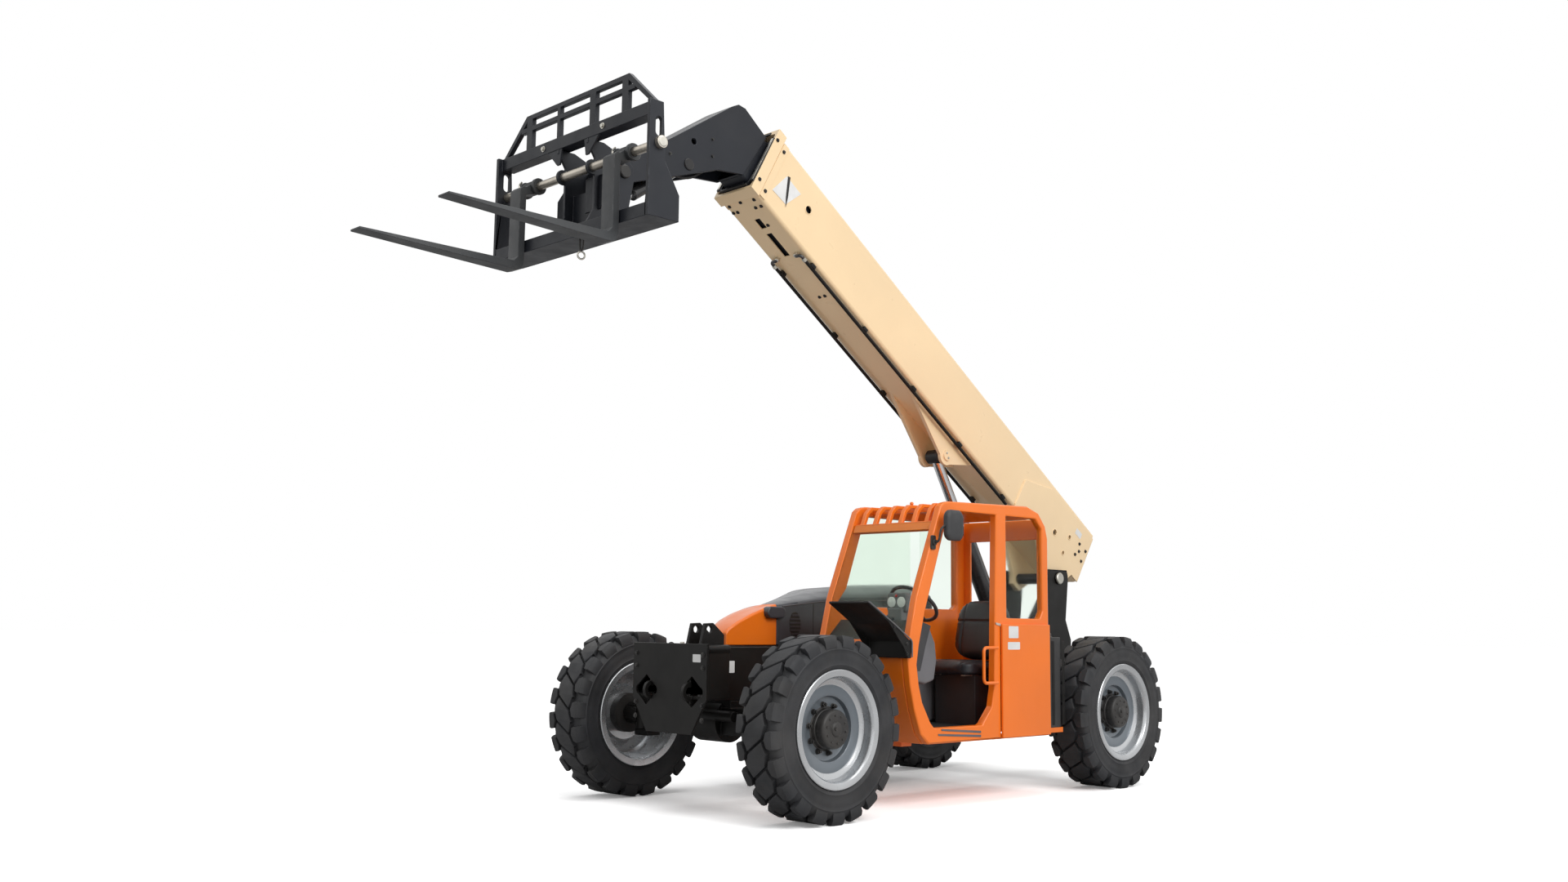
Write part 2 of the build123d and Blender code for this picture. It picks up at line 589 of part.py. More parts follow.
# ---------------------------------------------------------------- hood
HOOD_MIDDLE_Y = (HOOD_INNER + HOOD_OUTER) / 2
with BuildPart() as hood:
    for inset, how in ((0, Mode.ADD), (HOOD_WALL, Mode.SUBTRACT)):
        with BuildPart(mode=how) as shell_form:
            with BuildSketch(side(HOOD_INNER - inset)):
                nose_top = (HOOD_FRONT_X - inset, 1500 - inset)
                back = HOOD_REAR_X + inset
                with BuildLine():
                    ThreePointArc(nose_top, (600, 1602 - inset), (300, 1642 - inset))
                    Polyline(
                        (300, 1642 - inset), (back, 1700 - inset), (back, HOOD_BASE_Z - inset),
                        (HOOD_FRONT_X - inset, HOOD_BASE_Z - inset), nose_top,
                    )
                make_face()
            extrude(amount=HOOD_INNER - HOOD_OUTER - 2 * inset)
            long_edges = [
                edge for face in shell_form.faces().sort_by(Axis.Z)[-2:] for edge in face.edges()
                if abs(edge.center().Y - HOOD_MIDDLE_Y) > 1
            ]
            fillet(long_edges, HOOD_EDGE - inset)
    # oval vent with its slats in the inner wall, and the cooling grille's slots in the outer one
    with BuildSketch(side(HOOD_INNER)):
        with Locations((VENT_X, VENT_Z)):
            Ellipse(VENT_HALF_LENGTH, VENT_HALF_HEIGHT)
            for n in range(VENT_SLATS):
                with Locations((0, VENT_HALF_HEIGHT * (2 * (n + 1) / (VENT_SLATS + 1) - 1))):
                    Rectangle(2 * VENT_HALF_LENGTH + 4, VENT_SLAT, mode=Mode.SUBTRACT)
    extrude(amount=HOOD_WALL, mode=Mode.SUBTRACT)
    with BuildSketch(side(HOOD_OUTER + HOOD_WALL)):
        with Locations((GRILLE_X, GRILLE_Z)):
            with GridLocations(GRILLE_LENGTH + GRILLE_BAR, GRILLE_PITCH, GRILLE_COLUMNS, GRILLE_ROWS):
                Rectangle(GRILLE_LENGTH, GRILLE_PITCH / 2)
    extrude(amount=HOOD_WALL, mode=Mode.SUBTRACT)
    # rounded air intake on the inner wall's front corner
    with BuildSketch(side(HOOD_INNER + INTAKE_WIDTH)):
        with Locations((HOOD_FRONT_X + 45, 1422)):
            RectangleRounded(INTAKE_LENGTH, INTAKE_HEIGHT, INTAKE_HEIGHT / 2 - 1)
    extrude(amount=INTAKE_WIDTH)
finish(hood.part, "hood")

NOSE_FORMS = (  # where along the machine, outer side, height of the top at the inner side
    (HOOD_FRONT_X, -840, 1495), (1400, -480, 1285),
)
NOSE_FALL = 0.18              # slope of the nose's top across the machine
NOSE_EDGE = 0.07              # share of its width that its outer edge is cut back
with BuildPart() as hood_nose:
    for x, outer_y, top in NOSE_FORMS:
        across = HOOD_INNER - outer_y
        cut_back = NOSE_EDGE * across
        edge_z = top - NOSE_FALL * (across - cut_back)
        with BuildSketch(front(x)):
            outline([
                (HOOD_INNER, HOOD_BASE_Z), (outer_y, HOOD_BASE_Z), (outer_y, edge_z - cut_back),
                (outer_y + cut_back, edge_z), (HOOD_INNER, top),
            ])
    loft(ruled=True)
finish(hood_nose.part, "hood_nose")

# ---------------------------------------------------------------- cab
CAB_FRONT_EDGE = (  # from the sill up to the roof
    (747, CAB_SILL_Z), (829, 551), (902, 727), (947, 901), (974, 1098), (962, 1225), (880, 1540),
    (600, 2215),
)
CAB_ROOF_EDGE = (
    (560, 2245), (500, 2258), (-486, CAB_ROOF_Z), (-640, 2240), (-730, 2140), (CAB_REAR_X, 2040),
    (CAB_REAR_X, CAB_SILL_Z),
)
DOOR_EDGE = (
    (673, 592), (719, 633), (811, 782), (847, 899), (872, 1050), (847, 1190), (782, 1426), (520, 2140),
    (470, 2192), (-75, 2192), (-41, 860), (-12, 727), (114, 592),
)
RIGHT_WINDOW_EDGE = ((835, 1470), (720, 1600), (520, 2140), (470, 2192), (-75, 2192), (-75, 1470))
QUARTER_EDGE = (
    (-205, CAB_BELT_Z), (-205, 2192), (-600, 2192), (-680, 2110), (-680, CAB_BELT_Z + 60),
    (-640, CAB_BELT_Z),
)
LOWER_OPENING = ((-125, 500), (-125, 1330), (-725, 1330), (-725, 500))
INNER_LEFT = CAB_LEFT - CAB_FRAME
INNER_RIGHT = CAB_RIGHT + CAB_FRAME
CAB_INSIDE = INNER_LEFT - INNER_RIGHT

CAB_SIDES = (  # side, Y of its left face, openings through it
    ("left", CAB_LEFT, (DOOR_EDGE, QUARTER_EDGE, LOWER_OPENING)),
    ("right", INNER_RIGHT, (RIGHT_WINDOW_EDGE, QUARTER_EDGE)),
)
for side_name, left_face, openings in CAB_SIDES:
    with BuildPart() as side_frame:
        with BuildSketch(side(left_face)):
            outline([*CAB_FRONT_EDGE, *CAB_ROOF_EDGE])
            for opening in openings:
                Polygon(*opening, align=None, mode=Mode.SUBTRACT)
        extrude(amount=CAB_FRAME)
    finish(side_frame.part, f"cab_side_{side_name}")

with BuildPart() as lower_panel:
    with BuildSketch(side(CAB_LEFT + PANEL)):
        outline([(-119, 486), (-119, 1350), (-745, 1350), (-745, 486)])
    extrude(amount=PANEL)
finish(lower_panel.part, "cab_lower_panel")

with BuildPart() as cab_front:
    lower_edge = [point for point in CAB_FRONT_EDGE if point[1] < 1250]
    with BuildSketch(side(INNER_LEFT)):
        outline(lower_edge + [(x - PANEL, z) for x, z in reversed(lower_edge)])
    extrude(amount=CAB_INSIDE)
finish(cab_front.part, "cab_front_panel")

with BuildPart() as windscreen:
    with BuildSketch(side(INNER_LEFT)):
        outline([(960, 1225), (872, 1540), (638, 2100), (630, 2098), (864, 1538), (952, 1225)])
    extrude(amount=CAB_INSIDE)
finish(windscreen.part, "windscreen")

with BuildPart() as side_glass:
    with BuildSketch(side(CAB_RIGHT + (CAB_FRAME + GLASS) / 2)):
        outline(RIGHT_WINDOW_EDGE)
        outline(QUARTER_EDGE)
    extrude(amount=GLASS)
finish(side_glass.part, "cab_side_glass")

REAR_WINDOW = ((INNER_RIGHT + 70, CAB_BELT_Z), (INNER_LEFT - 20, 2035))
with BuildPart() as cab_rear:
    with BuildSketch(front(CAB_REAR_X)):
        outline([
            (INNER_RIGHT, CAB_SILL_Z), (INNER_LEFT, CAB_SILL_Z), (INNER_LEFT, 2200), (INNER_RIGHT, 2200),
        ])
        (near, low), (far, high) = REAR_WINDOW
        Polygon((near, low), (far, low), (far, high), (near, high), align=None, mode=Mode.SUBTRACT)
    extrude(amount=PANEL)
finish(cab_rear.part, "cab_rear_panel")

with BuildPart() as cab_floor:
    with BuildSketch(level(FLOOR_Z)):
        outline([
            (CAB_REAR_X + PANEL, INNER_RIGHT), (780, INNER_RIGHT), (780, INNER_LEFT),
            (CAB_REAR_X + PANEL, INNER_LEFT),
        ])
    extrude(amount=-PANEL)
finish(cab_floor.part, "cab_floor")

# roof: header over the windscreen, six bars from it to the plate, and the plate
with BuildPart() as cab_roof:
    with BuildSketch(side(INNER_LEFT)):
        outline([(640, 2105), (600, 2195), (540, 2175), (580, 2085)])
        outline([
            (300, 2225), (300, 2250), (-486, 2272), (-640, 2226), (-700, 2200), (-640, 2200), (-480, 2245),
        ])
    extrude(amount=CAB_INSIDE)
    for n in range(ROOF_BARS):
        bar_y = INNER_LEFT - CAB_INSIDE * (n + 0.5) / ROOF_BARS
        with BuildSketch(side(bar_y + ROOF_BAR / 2)):
            outline([(600, 2190), (520, 2250), (290, 2250), (290, 2225), (510, 2225), (570, 2175)])
        extrude(amount=ROOF_BAR)
finish(cab_roof.part, "cab_roof")

# cab's inside: dashboard with steering column and wheel, and the driver's place
DRIVER_Y = 720.0
WHEEL_HUB_X, WHEEL_HUB_Z = 452.0, 1504.0
WHEEL_RAKE = radians(49)
COLUMN_HALF = 30.0
column_x, column_z = COLUMN_HALF * sin(WHEEL_RAKE), COLUMN_HALF * cos(WHEEL_RAKE)
with BuildPart() as dashboard:
    with BuildSketch(side(INNER_LEFT)):
        outline([
            (925, 1000), (950, 1100), (935, 1225), (780, 1370), (640, 1330), (700, 1180), (760, 1000),
        ])
    extrude(amount=CAB_INSIDE)
    with BuildSketch(side(DRIVER_Y + 45)):
        outline([
            (760, 1000), (740, 1340), (WHEEL_HUB_X + column_x, WHEEL_HUB_Z + column_z),
            (WHEEL_HUB_X - column_x, WHEEL_HUB_Z - column_z), (660, 1250), (660, FLOOR_Z), (760, FLOOR_Z),
        ])
    extrude(amount=90)
finish(dashboard.part, "dashboard")

with BuildPart() as steering_wheel:
    with BuildSketch(towards(
        WHEEL_HUB_X, WHEEL_HUB_Z, WHEEL_HUB_X - cos(WHEEL_RAKE), WHEEL_HUB_Z + sin(WHEEL_RAKE)
    )):
        with Locations((DRIVER_Y, 0)):
            Circle(STEERING_WHEEL_RADIUS)
            Circle(STEERING_WHEEL_RADIUS - 26, mode=Mode.SUBTRACT)
            for turn in (0, 120, 240):
                with Locations(Rotation(0, 0, 90 + turn)):
                    Rectangle(STEERING_WHEEL_RADIUS - 10, 26, align=(Align.MIN, Align.CENTER))
            Circle(38)
    extrude(amount=24)
finish(steering_wheel.part, "steering_wheel")

with BuildPart() as seat_base:
    with BuildSketch(level(FLOOR_Z)):
        with Locations((-330, DRIVER_Y)):
            Rectangle(420, 400)
    extrude(amount=390)
finish(seat_base.part, "seat_base")

with BuildPart() as seat_cushions:
    with BuildSketch(side(DRIVER_Y + 250)):
        outline([
            (30, 960), (60, 1010), (40, 1060), (-60, 1080), (-470, 1045), (-520, 1200), (-560, 1440),
            (-600, 1510), (-660, 1500), (-690, 1420), (-640, 1150), (-560, 950), (-30, 950),
        ])
    extrude(amount=500)
finish(seat_cushions.part, "seat_cushions")

MIRROR_ARM_LINE = ((700, 1935, -CAB_LEFT - 4), (700, 1935, -1250), (600, 2040, -1250))
with BuildPart() as mirror:
    with BuildSketch(side(1285)):
        with Locations((556, 2070)):
            RectangleRounded(195, 230, 55)
    extrude(amount=60)
    chamfer(mirror.faces().sort_by(Axis.Y)[-1].edges(), 16)
    with BuildLine():
        bent_arm = FilletPolyline(
            *[side(0).from_local_coords(point) for point in MIRROR_ARM_LINE], radius=16
        )
    with BuildSketch(Plane(origin=bent_arm @ 0, z_dir=bent_arm % 0)):
        Circle(MIRROR_ARM)
    sweep()
    with BuildSketch(side(CAB_LEFT + 16)):
        with Locations((700, 1940)):
            RectangleRounded(60, 110, 14)
    extrude(amount=16)
finish(mirror.part, "mirror")

with BuildPart() as grab_handle:
    with BuildSketch(side(CAB_LEFT + PANEL + 60)):
        outline([(-20, 900), (110, 900), (110, 1190), (-20, 1190)])
        Polygon((-160, 925), (85, 925), (85, 1165), (-160, 1165), align=None, mode=Mode.SUBTRACT)
    extrude(amount=26)
    for z in (900, 1165):
        with BuildSketch(side(CAB_LEFT + PANEL + 60)):
            outline([(-150, z), (0, z), (0, z + 25), (-150, z + 25)])
        extrude(amount=60)
finish(grab_handle.part, "grab_handle")

with BuildPart() as mudguard:
    with BuildSketch(side(MUDGUARD_OUTER)):
        outline([
            (974, 1098), (1012, 1098), (1012, 1216), (1170, 1325), (1436, 1482), (1430, 1496),
            (1160, 1342), (1000, 1232), (962, 1225),
        ])
    extrude(amount=MUDGUARD_WIDTH)
    for y in (MUDGUARD_OUTER, MUDGUARD_OUTER - MUDGUARD_WIDTH + 10):
        with BuildSketch(side(y)):
            outline([(1008, 1098), (1008, 1224), (1166, 1330), (1240, 1376), (1060, 1180)])
        extrude(amount=10)
finish(mudguard.part, "mudguard")

with BuildPart() as tank:
    tank_length = TANK_FRONT_X - TANK_REAR_X
    with BuildSketch(level(TANK_LOW)):
        with Locations(((TANK_FRONT_X + TANK_REAR_X) / 2, (TANK_INNER + TANK_OUTER) / 2)):
            RectangleRounded(tank_length, TANK_OUTER - TANK_INNER, tank_length / 5)
    extrude(amount=TANK_HEIGHT)
finish(tank.part, "tank")

# ---------------------------------------------------------------- telescopic boom
BASE_HIGH = BOOM_LOW + BASE_DEPTH
SECTIONS = {  # half width, underside and top from the pivot, rear and front along the boom, wall
    "base": (BASE_WIDTH / 2, BOOM_LOW, BASE_HIGH, BOOM_REAR, BOOM_FRONT, BOOM_WALL),
    "mid": (BASE_WIDTH / 2 - 34, BOOM_LOW + 28, BASE_HIGH - 38, -200.0, BOOM_FRONT + 20, 10.0),
    "fly": (BASE_WIDTH / 2 - 68, BOOM_LOW + 54, BASE_HIGH - 78, -60.0, BOOM_FRONT + 80, 10.0),
}


def length(name):
    """Length of a boom section."""
    _, _, _, rear, front_end, _ = SECTIONS[name]
    return front_end - rear


def skin(name, inside=False):
    """Outer or inner outline of a boom section, in a sketch across the boom."""
    half, low, high, _, _, wall = SECTIONS[name]
    inset = wall if inside else 0.0
    with Locations((0, (low + high) / 2)):
        RectangleRounded(2 * (half - inset), high - low - 2 * inset, BEND_RADIUS - inset)


def pads(outer, inner, on_outer):
    """Wear pads that fill the play between two sections, seated on one and just clear of the other."""
    half, low, high, _, _, wall = SECTIONS[outer]
    slim, under, over, _, _, _ = SECTIONS[inner]
    seat, play = (0.0, FACE_GAP) if on_outer else (FACE_GAP, 0.0)
    far, near = half - wall - seat, slim + play
    for hand in (1, -1):
        with Locations((hand * (far + near) / 2, (low + high) / 2)):
            Rectangle(far - near, PAD_WIDTH)
    for wall_face, inner_face in ((low + wall + seat, under - play), (high - wall - seat, over + play)):
        with Locations((0, (wall_face + inner_face) / 2)):
            Rectangle(PAD_WIDTH, abs(wall_face - inner_face))


MID_REAR, FLY_REAR = SECTIONS["mid"][3], SECTIONS["fly"][3]
with BuildPart() as boom_base:
    with BuildSketch(across_boom(BOOM_REAR)):
        skin("base")
    extrude(amount=length("base"))
    with BuildSketch(boom_plane(BASE_WIDTH / 2 + COLLAR_STEP)):
        outline([
            (BOOM_FRONT - COLLAR_LENGTH, BOOM_LOW - COLLAR_STEP), (BOOM_FRONT, BOOM_LOW - COLLAR_STEP),
            (BOOM_FRONT + COLLAR_LEAN, BASE_HIGH + 2 * COLLAR_STEP),
            (BOOM_FRONT + COLLAR_LEAN - COLLAR_LENGTH, BASE_HIGH + 2 * COLLAR_STEP),
        ])
    extrude(amount=BASE_WIDTH + 2 * COLLAR_STEP)
    with BuildSketch(across_boom(BOOM_REAR + CHEEK_PLATE)):
        skin("base", inside=True)
    extrude(amount=length("base") + 2 * COLLAR_LEAN, mode=Mode.SUBTRACT)
    with BuildSketch(across_boom(BOOM_FRONT - COLLAR_LENGTH - PAD_LENGTH)):
        pads("base", "mid", True)
    extrude(amount=PAD_LENGTH)
    for hand in (1, -1):
        with BuildSketch(boom_plane(hand * (BASE_WIDTH / 2 + CHEEK_PLATE))):
            outline([
                (BOOM_REAR, BOOM_LOW), (830, BOOM_LOW), (830, 510), (420, 710), (BOOM_REAR, 710),
            ])
        extrude(amount=hand * CHEEK_PLATE)
        with BuildSketch(boom_plane(hand * (BASE_WIDTH / 2 + CHEEK_PLATE))):
            outline([
                (-230, BOOM_LOW + 10), (-230, BOOM_LOW), (-112, -10), (-60, -94), (60, -94), (112, -10),
                (420, BOOM_LOW), (420, BOOM_LOW + 10),
            ])
        extrude(amount=hand * PIVOT_EAR_PLATE)
        with BuildSketch(boom_plane(hand * (LIFT_EAR_GAP / 2 + LIFT_EAR_PLATE))):
            outline([(1420, BOOM_LOW + 4), (1692, -5), (1836, -5), (2450, BOOM_LOW + 4)])
            with Locations((LIFT_EYE_ALONG, LIFT_EYE_UP)):
                Circle(LIFT_EAR_RADIUS)
        extrude(amount=hand * LIFT_EAR_PLATE)
        with BuildSketch(boom_plane(hand * (LIFT_EAR_GAP / 2 + LIFT_EAR_PLATE + 12))):
            with Locations((LIFT_EYE_ALONG, LIFT_EYE_UP)):
                Circle(LIFT_PIN_RADIUS + 14)
        extrude(amount=hand * 12)
    for along, slot_length, slot_width in UNDERSIDE_SLOTS:
        with BuildSketch(boom_plane(slot_width / 2)):
            with Locations((along, BOOM_LOW)):
                Rectangle(slot_length, 3 * BOOM_WALL)
        extrude(amount=slot_width, mode=Mode.SUBTRACT)
    with BuildSketch(boom_plane(BASE_WIDTH)):
        Circle(PIVOT_PIN_RADIUS + RUNNING_GAP)
        for along, up, radius in SIDE_HOLES:
            with Locations((along, up)):
                Circle(radius)
    extrude(amount=2 * BASE_WIDTH, mode=Mode.SUBTRACT)
finish(boom_base.part, "boom_base")

with BuildPart() as boom_pipes:
    for hand in (1, -1):
        with BuildSketch(across_boom(PIPE_REAR)):
            with Locations((hand * PIPE_Y, BOOM_LOW - PIPE_DROP)):
                Circle(PIPE_RADIUS)
        extrude(amount=PIPE_FRONT - PIPE_REAR)
        for n in range(PIPE_CLAMPS):
            clamp = PIPE_REAR + 60 + n * (PIPE_FRONT - PIPE_REAR - 180) / (PIPE_CLAMPS - 1)
            with BuildSketch(across_boom(clamp)):
                with Locations((hand * PIPE_Y, BOOM_LOW - PIPE_DROP / 2)):
                    Rectangle(44, PIPE_DROP)
            extrude(amount=50)
finish(boom_pipes.part, "boom_pipes")

with BuildPart() as boom_mid:
    with BuildSketch(across_boom(MID_REAR)):
        skin("mid")
    extrude(amount=length("mid"))
    with BuildSketch(across_boom(MID_REAR)):
        skin("mid", inside=True)
    extrude(amount=length("mid"), mode=Mode.SUBTRACT)
    with BuildSketch(across_boom(MID_REAR)):
        pads("base", "mid", False)
    with BuildSketch(across_boom(MID_REAR + length("mid") - PAD_LENGTH)):
        pads("mid", "fly", True)
    extrude(amount=PAD_LENGTH)
finish(boom_mid.part, "boom_mid")

with BuildPart() as boom_fly:
    with BuildSketch(across_boom(FLY_REAR)):
        skin("fly")
    extrude(amount=length("fly"))
    with BuildSketch(across_boom(FLY_REAR)):
        skin("fly", inside=True)
    extrude(amount=length("fly"), mode=Mode.SUBTRACT)
    with BuildSketch(across_boom(FLY_REAR)):
        pads("mid", "fly", False)
    extrude(amount=PAD_LENGTH)
finish(boom_fly.part, "boom_fly")

# ---------------------------------------------------------------- lift cylinder
LIFT_REST = hypot(LIFT_EYE_X - LIFT_BASE_X, LIFT_EYE_Z - LIFT_BASE_Z)
lift_base = towards(LIFT_BASE_X, LIFT_BASE_Z, LIFT_EYE_X, LIFT_EYE_Z)
with BuildPart() as lift_barrel:
    with BuildSketch(side(LIFT_EYE_WIDTH / 2)):
        with Locations((LIFT_BASE_X, LIFT_BASE_Z)):
            Circle(68)
    extrude(amount=LIFT_EYE_WIDTH)
    with BuildSketch(lift_base.offset(40)):
        Circle(LIFT_BARREL_RADIUS - 12)
    extrude(amount=70)
    with BuildSketch(lift_base.offset(100)):
        Circle(LIFT_BARREL_RADIUS)
    extrude(amount=LIFT_BARREL_LENGTH - 100)
    with BuildSketch(side(LIFT_EYE_WIDTH)):
        with Locations((LIFT_BASE_X, LIFT_BASE_Z)):
            Circle(LIFT_PIN_RADIUS + RUNNING_GAP)
    extrude(amount=2 * LIFT_EYE_WIDTH, mode=Mode.SUBTRACT)
    with BuildSketch(lift_base.offset(108)):
        Circle(LIFT_ROD_RADIUS + RUNNING_GAP)
    extrude(amount=LIFT_BARREL_LENGTH, mode=Mode.SUBTRACT)
finish(lift_barrel.part, "lift_barrel")

with BuildPart() as lift_rod:
    with BuildSketch(side(LIFT_EYE_WIDTH / 2)):
        with Locations((LIFT_EYE_X, LIFT_EYE_Z)):
            Circle(LIFT_EYE_RADIUS)
            Circle(LIFT_EYE_RADIUS - 16, mode=Mode.SUBTRACT)
    extrude(amount=LIFT_EYE_WIDTH)
    with BuildSketch(lift_base.offset(LIFT_REST - LIFT_ROD_LENGTH)):
        Circle(LIFT_ROD_RADIUS)
    extrude(amount=LIFT_ROD_LENGTH - LIFT_EYE_RADIUS + 12)
finish(lift_rod.part, "lift_rod")

# ---------------------------------------------------------------- boom head
_, FLY_LOW, FLY_HIGH, _, FLY_FRONT, _ = SECTIONS["fly"]
HEAD_REAR_TOP = boom_point(FLY_FRONT, FLY_HIGH)
HEAD_REAR_LOW = boom_point(FLY_FRONT, FLY_LOW)
with BuildPart() as boom_head:
    with BuildSketch(side(HEAD_HALF_WIDTH)):
        outline([
            HEAD_REAR_TOP, (1700, 5262), (1770, 5275), (1840, 5240), (2370, 4880), (2830, 4577),
            (2952, 4505), (2952, 4435), (2920, 4400), (2860, 4395), (2363, 4571), (1966, 4709),
            HEAD_REAR_LOW,
        ])
    extrude(amount=2 * HEAD_HALF_WIDTH)
    with BuildSketch(side(HEAD_HALF_WIDTH - HEAD_PLATE)):
        outline([
            (1530, 5085), (1715, 5230), (1765, 5243), (1822, 5216), (2355, 4852), (2815, 4549),
            (3000, 4450), (3000, 4300), (2363, 4300), (1760, 4640),
        ])
    extrude(amount=2 * (HEAD_HALF_WIDTH - HEAD_PLATE), mode=Mode.SUBTRACT)
    with BuildSketch(across_boom(FLY_FRONT)):
        with Locations((0, (FLY_LOW + FLY_HIGH) / 2)):
            Rectangle(2 * HEAD_HALF_WIDTH, FLY_HIGH - FLY_LOW)
    extrude(amount=20)
    with BuildSketch(side(HEAD_HALF_WIDTH)):
        with Locations((TILT_BASE_X, TILT_BASE_Z)):
            Circle(TILT_PIN_RADIUS)
    extrude(amount=2 * HEAD_HALF_WIDTH)
    with BuildSketch(side(HEAD_HALF_WIDTH + 20)):
        with Locations((CARRIAGE_PIVOT_X, CARRIAGE_PIVOT_Z)):
            Circle(CARRIAGE_PIN_RADIUS + RUNNING_GAP)
        with Locations((HEAD_HOLE_X, HEAD_HOLE_Z)):
            Circle(HEAD_HOLE_RADIUS)
    extrude(amount=2 * HEAD_HALF_WIDTH + 40, mode=Mode.SUBTRACT)
finish(boom_head.part, "boom_head")

# ---------------------------------------------------------------- tilt cylinder
TILT_REST = hypot(TILT_LUG_X - TILT_BASE_X, TILT_LUG_Z - TILT_BASE_Z)
tilt_base = towards(TILT_BASE_X, TILT_BASE_Z, TILT_LUG_X, TILT_LUG_Z)
with BuildPart() as tilt_barrel:
    with BuildSketch(side(TILT_EYE_WIDTH / 2)):
        with Locations((TILT_BASE_X, TILT_BASE_Z)):
            Circle(TILT_EYE_RADIUS)
    extrude(amount=TILT_EYE_WIDTH)
    with BuildSketch(tilt_base.offset(36)):
        Circle(TILT_BARREL_RADIUS)
    extrude(amount=TILT_BARREL_LENGTH - 36)
    with BuildSketch(side(TILT_EYE_WIDTH)):
        with Locations((TILT_BASE_X, TILT_BASE_Z)):
            Circle(TILT_PIN_RADIUS + RUNNING_GAP)
    extrude(amount=2 * TILT_EYE_WIDTH, mode=Mode.SUBTRACT)
    with BuildSketch(tilt_base.offset(76)):
        Circle(TILT_ROD_RADIUS + RUNNING_GAP)
    extrude(amount=TILT_BARREL_LENGTH, mode=Mode.SUBTRACT)
finish(tilt_barrel.part, "tilt_barrel")

with BuildPart() as tilt_rod:
    with BuildSketch(side(TILT_EYE_WIDTH / 2)):
        with Locations((TILT_LUG_X, TILT_LUG_Z)):
            Circle(TILT_EYE_RADIUS)
            Circle(TILT_PIN_RADIUS + 1, mode=Mode.SUBTRACT)
    extrude(amount=TILT_EYE_WIDTH)
    with BuildSketch(tilt_base.offset(TILT_REST - TILT_ROD_LENGTH)):
        Circle(TILT_ROD_RADIUS)
    extrude(amount=TILT_ROD_LENGTH - TILT_EYE_RADIUS + 12)
finish(tilt_rod.part, "tilt_rod")

# ---------------------------------------------------------------- carriage
with BuildPart() as coupler:
    for hand in (1, -1):
        with BuildSketch(side(hand * (COUPLER_Y + COUPLER_PLATE))):
            outline([
                (3200, CARRIAGE_TOP - BEAM), (3060, CARRIAGE_TOP - BEAM), (2840, 4555), (2800, 4520),
                (2790, 4420), (2860, 4060), (2972, CARRIAGE_BOTTOM + BEAM),
                (3200, CARRIAGE_BOTTOM + BEAM), (SHAFT_X - 15, 4150), (SHAFT_X - 15, 4510),
                (3200, CARRIAGE_TOP - BEAM - 30),
            ])
            with Locations((SHAFT_X, SHAFT_Z)):
                Circle(SHAFT_RADIUS + 24)
            with Locations((SHAFT_X, SHAFT_Z)):
                Circle(SHAFT_RADIUS, mode=Mode.SUBTRACT)
        extrude(amount=hand * COUPLER_PLATE)
        with BuildSketch(side(hand * (COUPLER_Y + COUPLER_PLATE + 8))):
            with Locations((CARRIAGE_PIVOT_X, CARRIAGE_PIVOT_Z)):
                Circle(CARRIAGE_PIN_RADIUS)
        extrude(amount=hand * (COUPLER_Y + COUPLER_PLATE + 8 - HEAD_HALF_WIDTH + HEAD_PLATE))
        with BuildSketch(side(hand * (TILT_LUG_GAP / 2 + TILT_LUG_PLATE))):
            outline([
                (TILT_LUG_X, TILT_LUG_Z + 52), (WEB_X + 10, TILT_LUG_Z + 90),
                (WEB_X + 10, CARRIAGE_BOTTOM + 120), (TILT_LUG_X - 10, TILT_LUG_Z - 52),
            ])
            with Locations((TILT_LUG_X, TILT_LUG_Z)):
                Circle(52)
        extrude(amount=hand * TILT_LUG_PLATE)
    with BuildSketch(front(WEB_X)):
        outline([
            (COUPLER_Y, CARRIAGE_BOTTOM + BEAM), (COUPLER_Y, TILT_LUG_Z + 100),
            (-COUPLER_Y, TILT_LUG_Z + 100),
            (-COUPLER_Y, CARRIAGE_BOTTOM + BEAM),
        ])
    extrude(amount=20)
finish(coupler.part, "carriage_coupler")

with BuildPart() as carriage_frame:
    for hand in (1, -1):
        with BuildSketch(side(hand * CARRIAGE_HALF)):
            outline([
                (3121, CARRIAGE_TOP), (3100, 4330), (2972, 4120), (2972, CARRIAGE_BOTTOM),
                (FORK_BACK_X - 5, CARRIAGE_BOTTOM), (FORK_BACK_X - 5, CARRIAGE_TOP),
            ])
            with Locations((SHAFT_X, SHAFT_Z)):
                Circle(SHAFT_RADIUS, mode=Mode.SUBTRACT)
            with Locations((SHAFT_X + 8, SHAFT_Z + 112)):
                SlotOverall(130, SLOT_WIDTH, rotation=90, mode=Mode.SUBTRACT)
        extrude(amount=hand * END_PLATE)
    inner_half = CARRIAGE_HALF - END_PLATE
    with BuildSketch(side(inner_half)):
        with Locations((3150, CARRIAGE_TOP - BEAM / 2)):
            Rectangle(100, BEAM)
        with Locations((3103, CARRIAGE_BOTTOM + BEAM / 2)):
            Rectangle(262, BEAM)
    extrude(amount=2 * inner_half)
finish(carriage_frame.part, "carriage_frame")

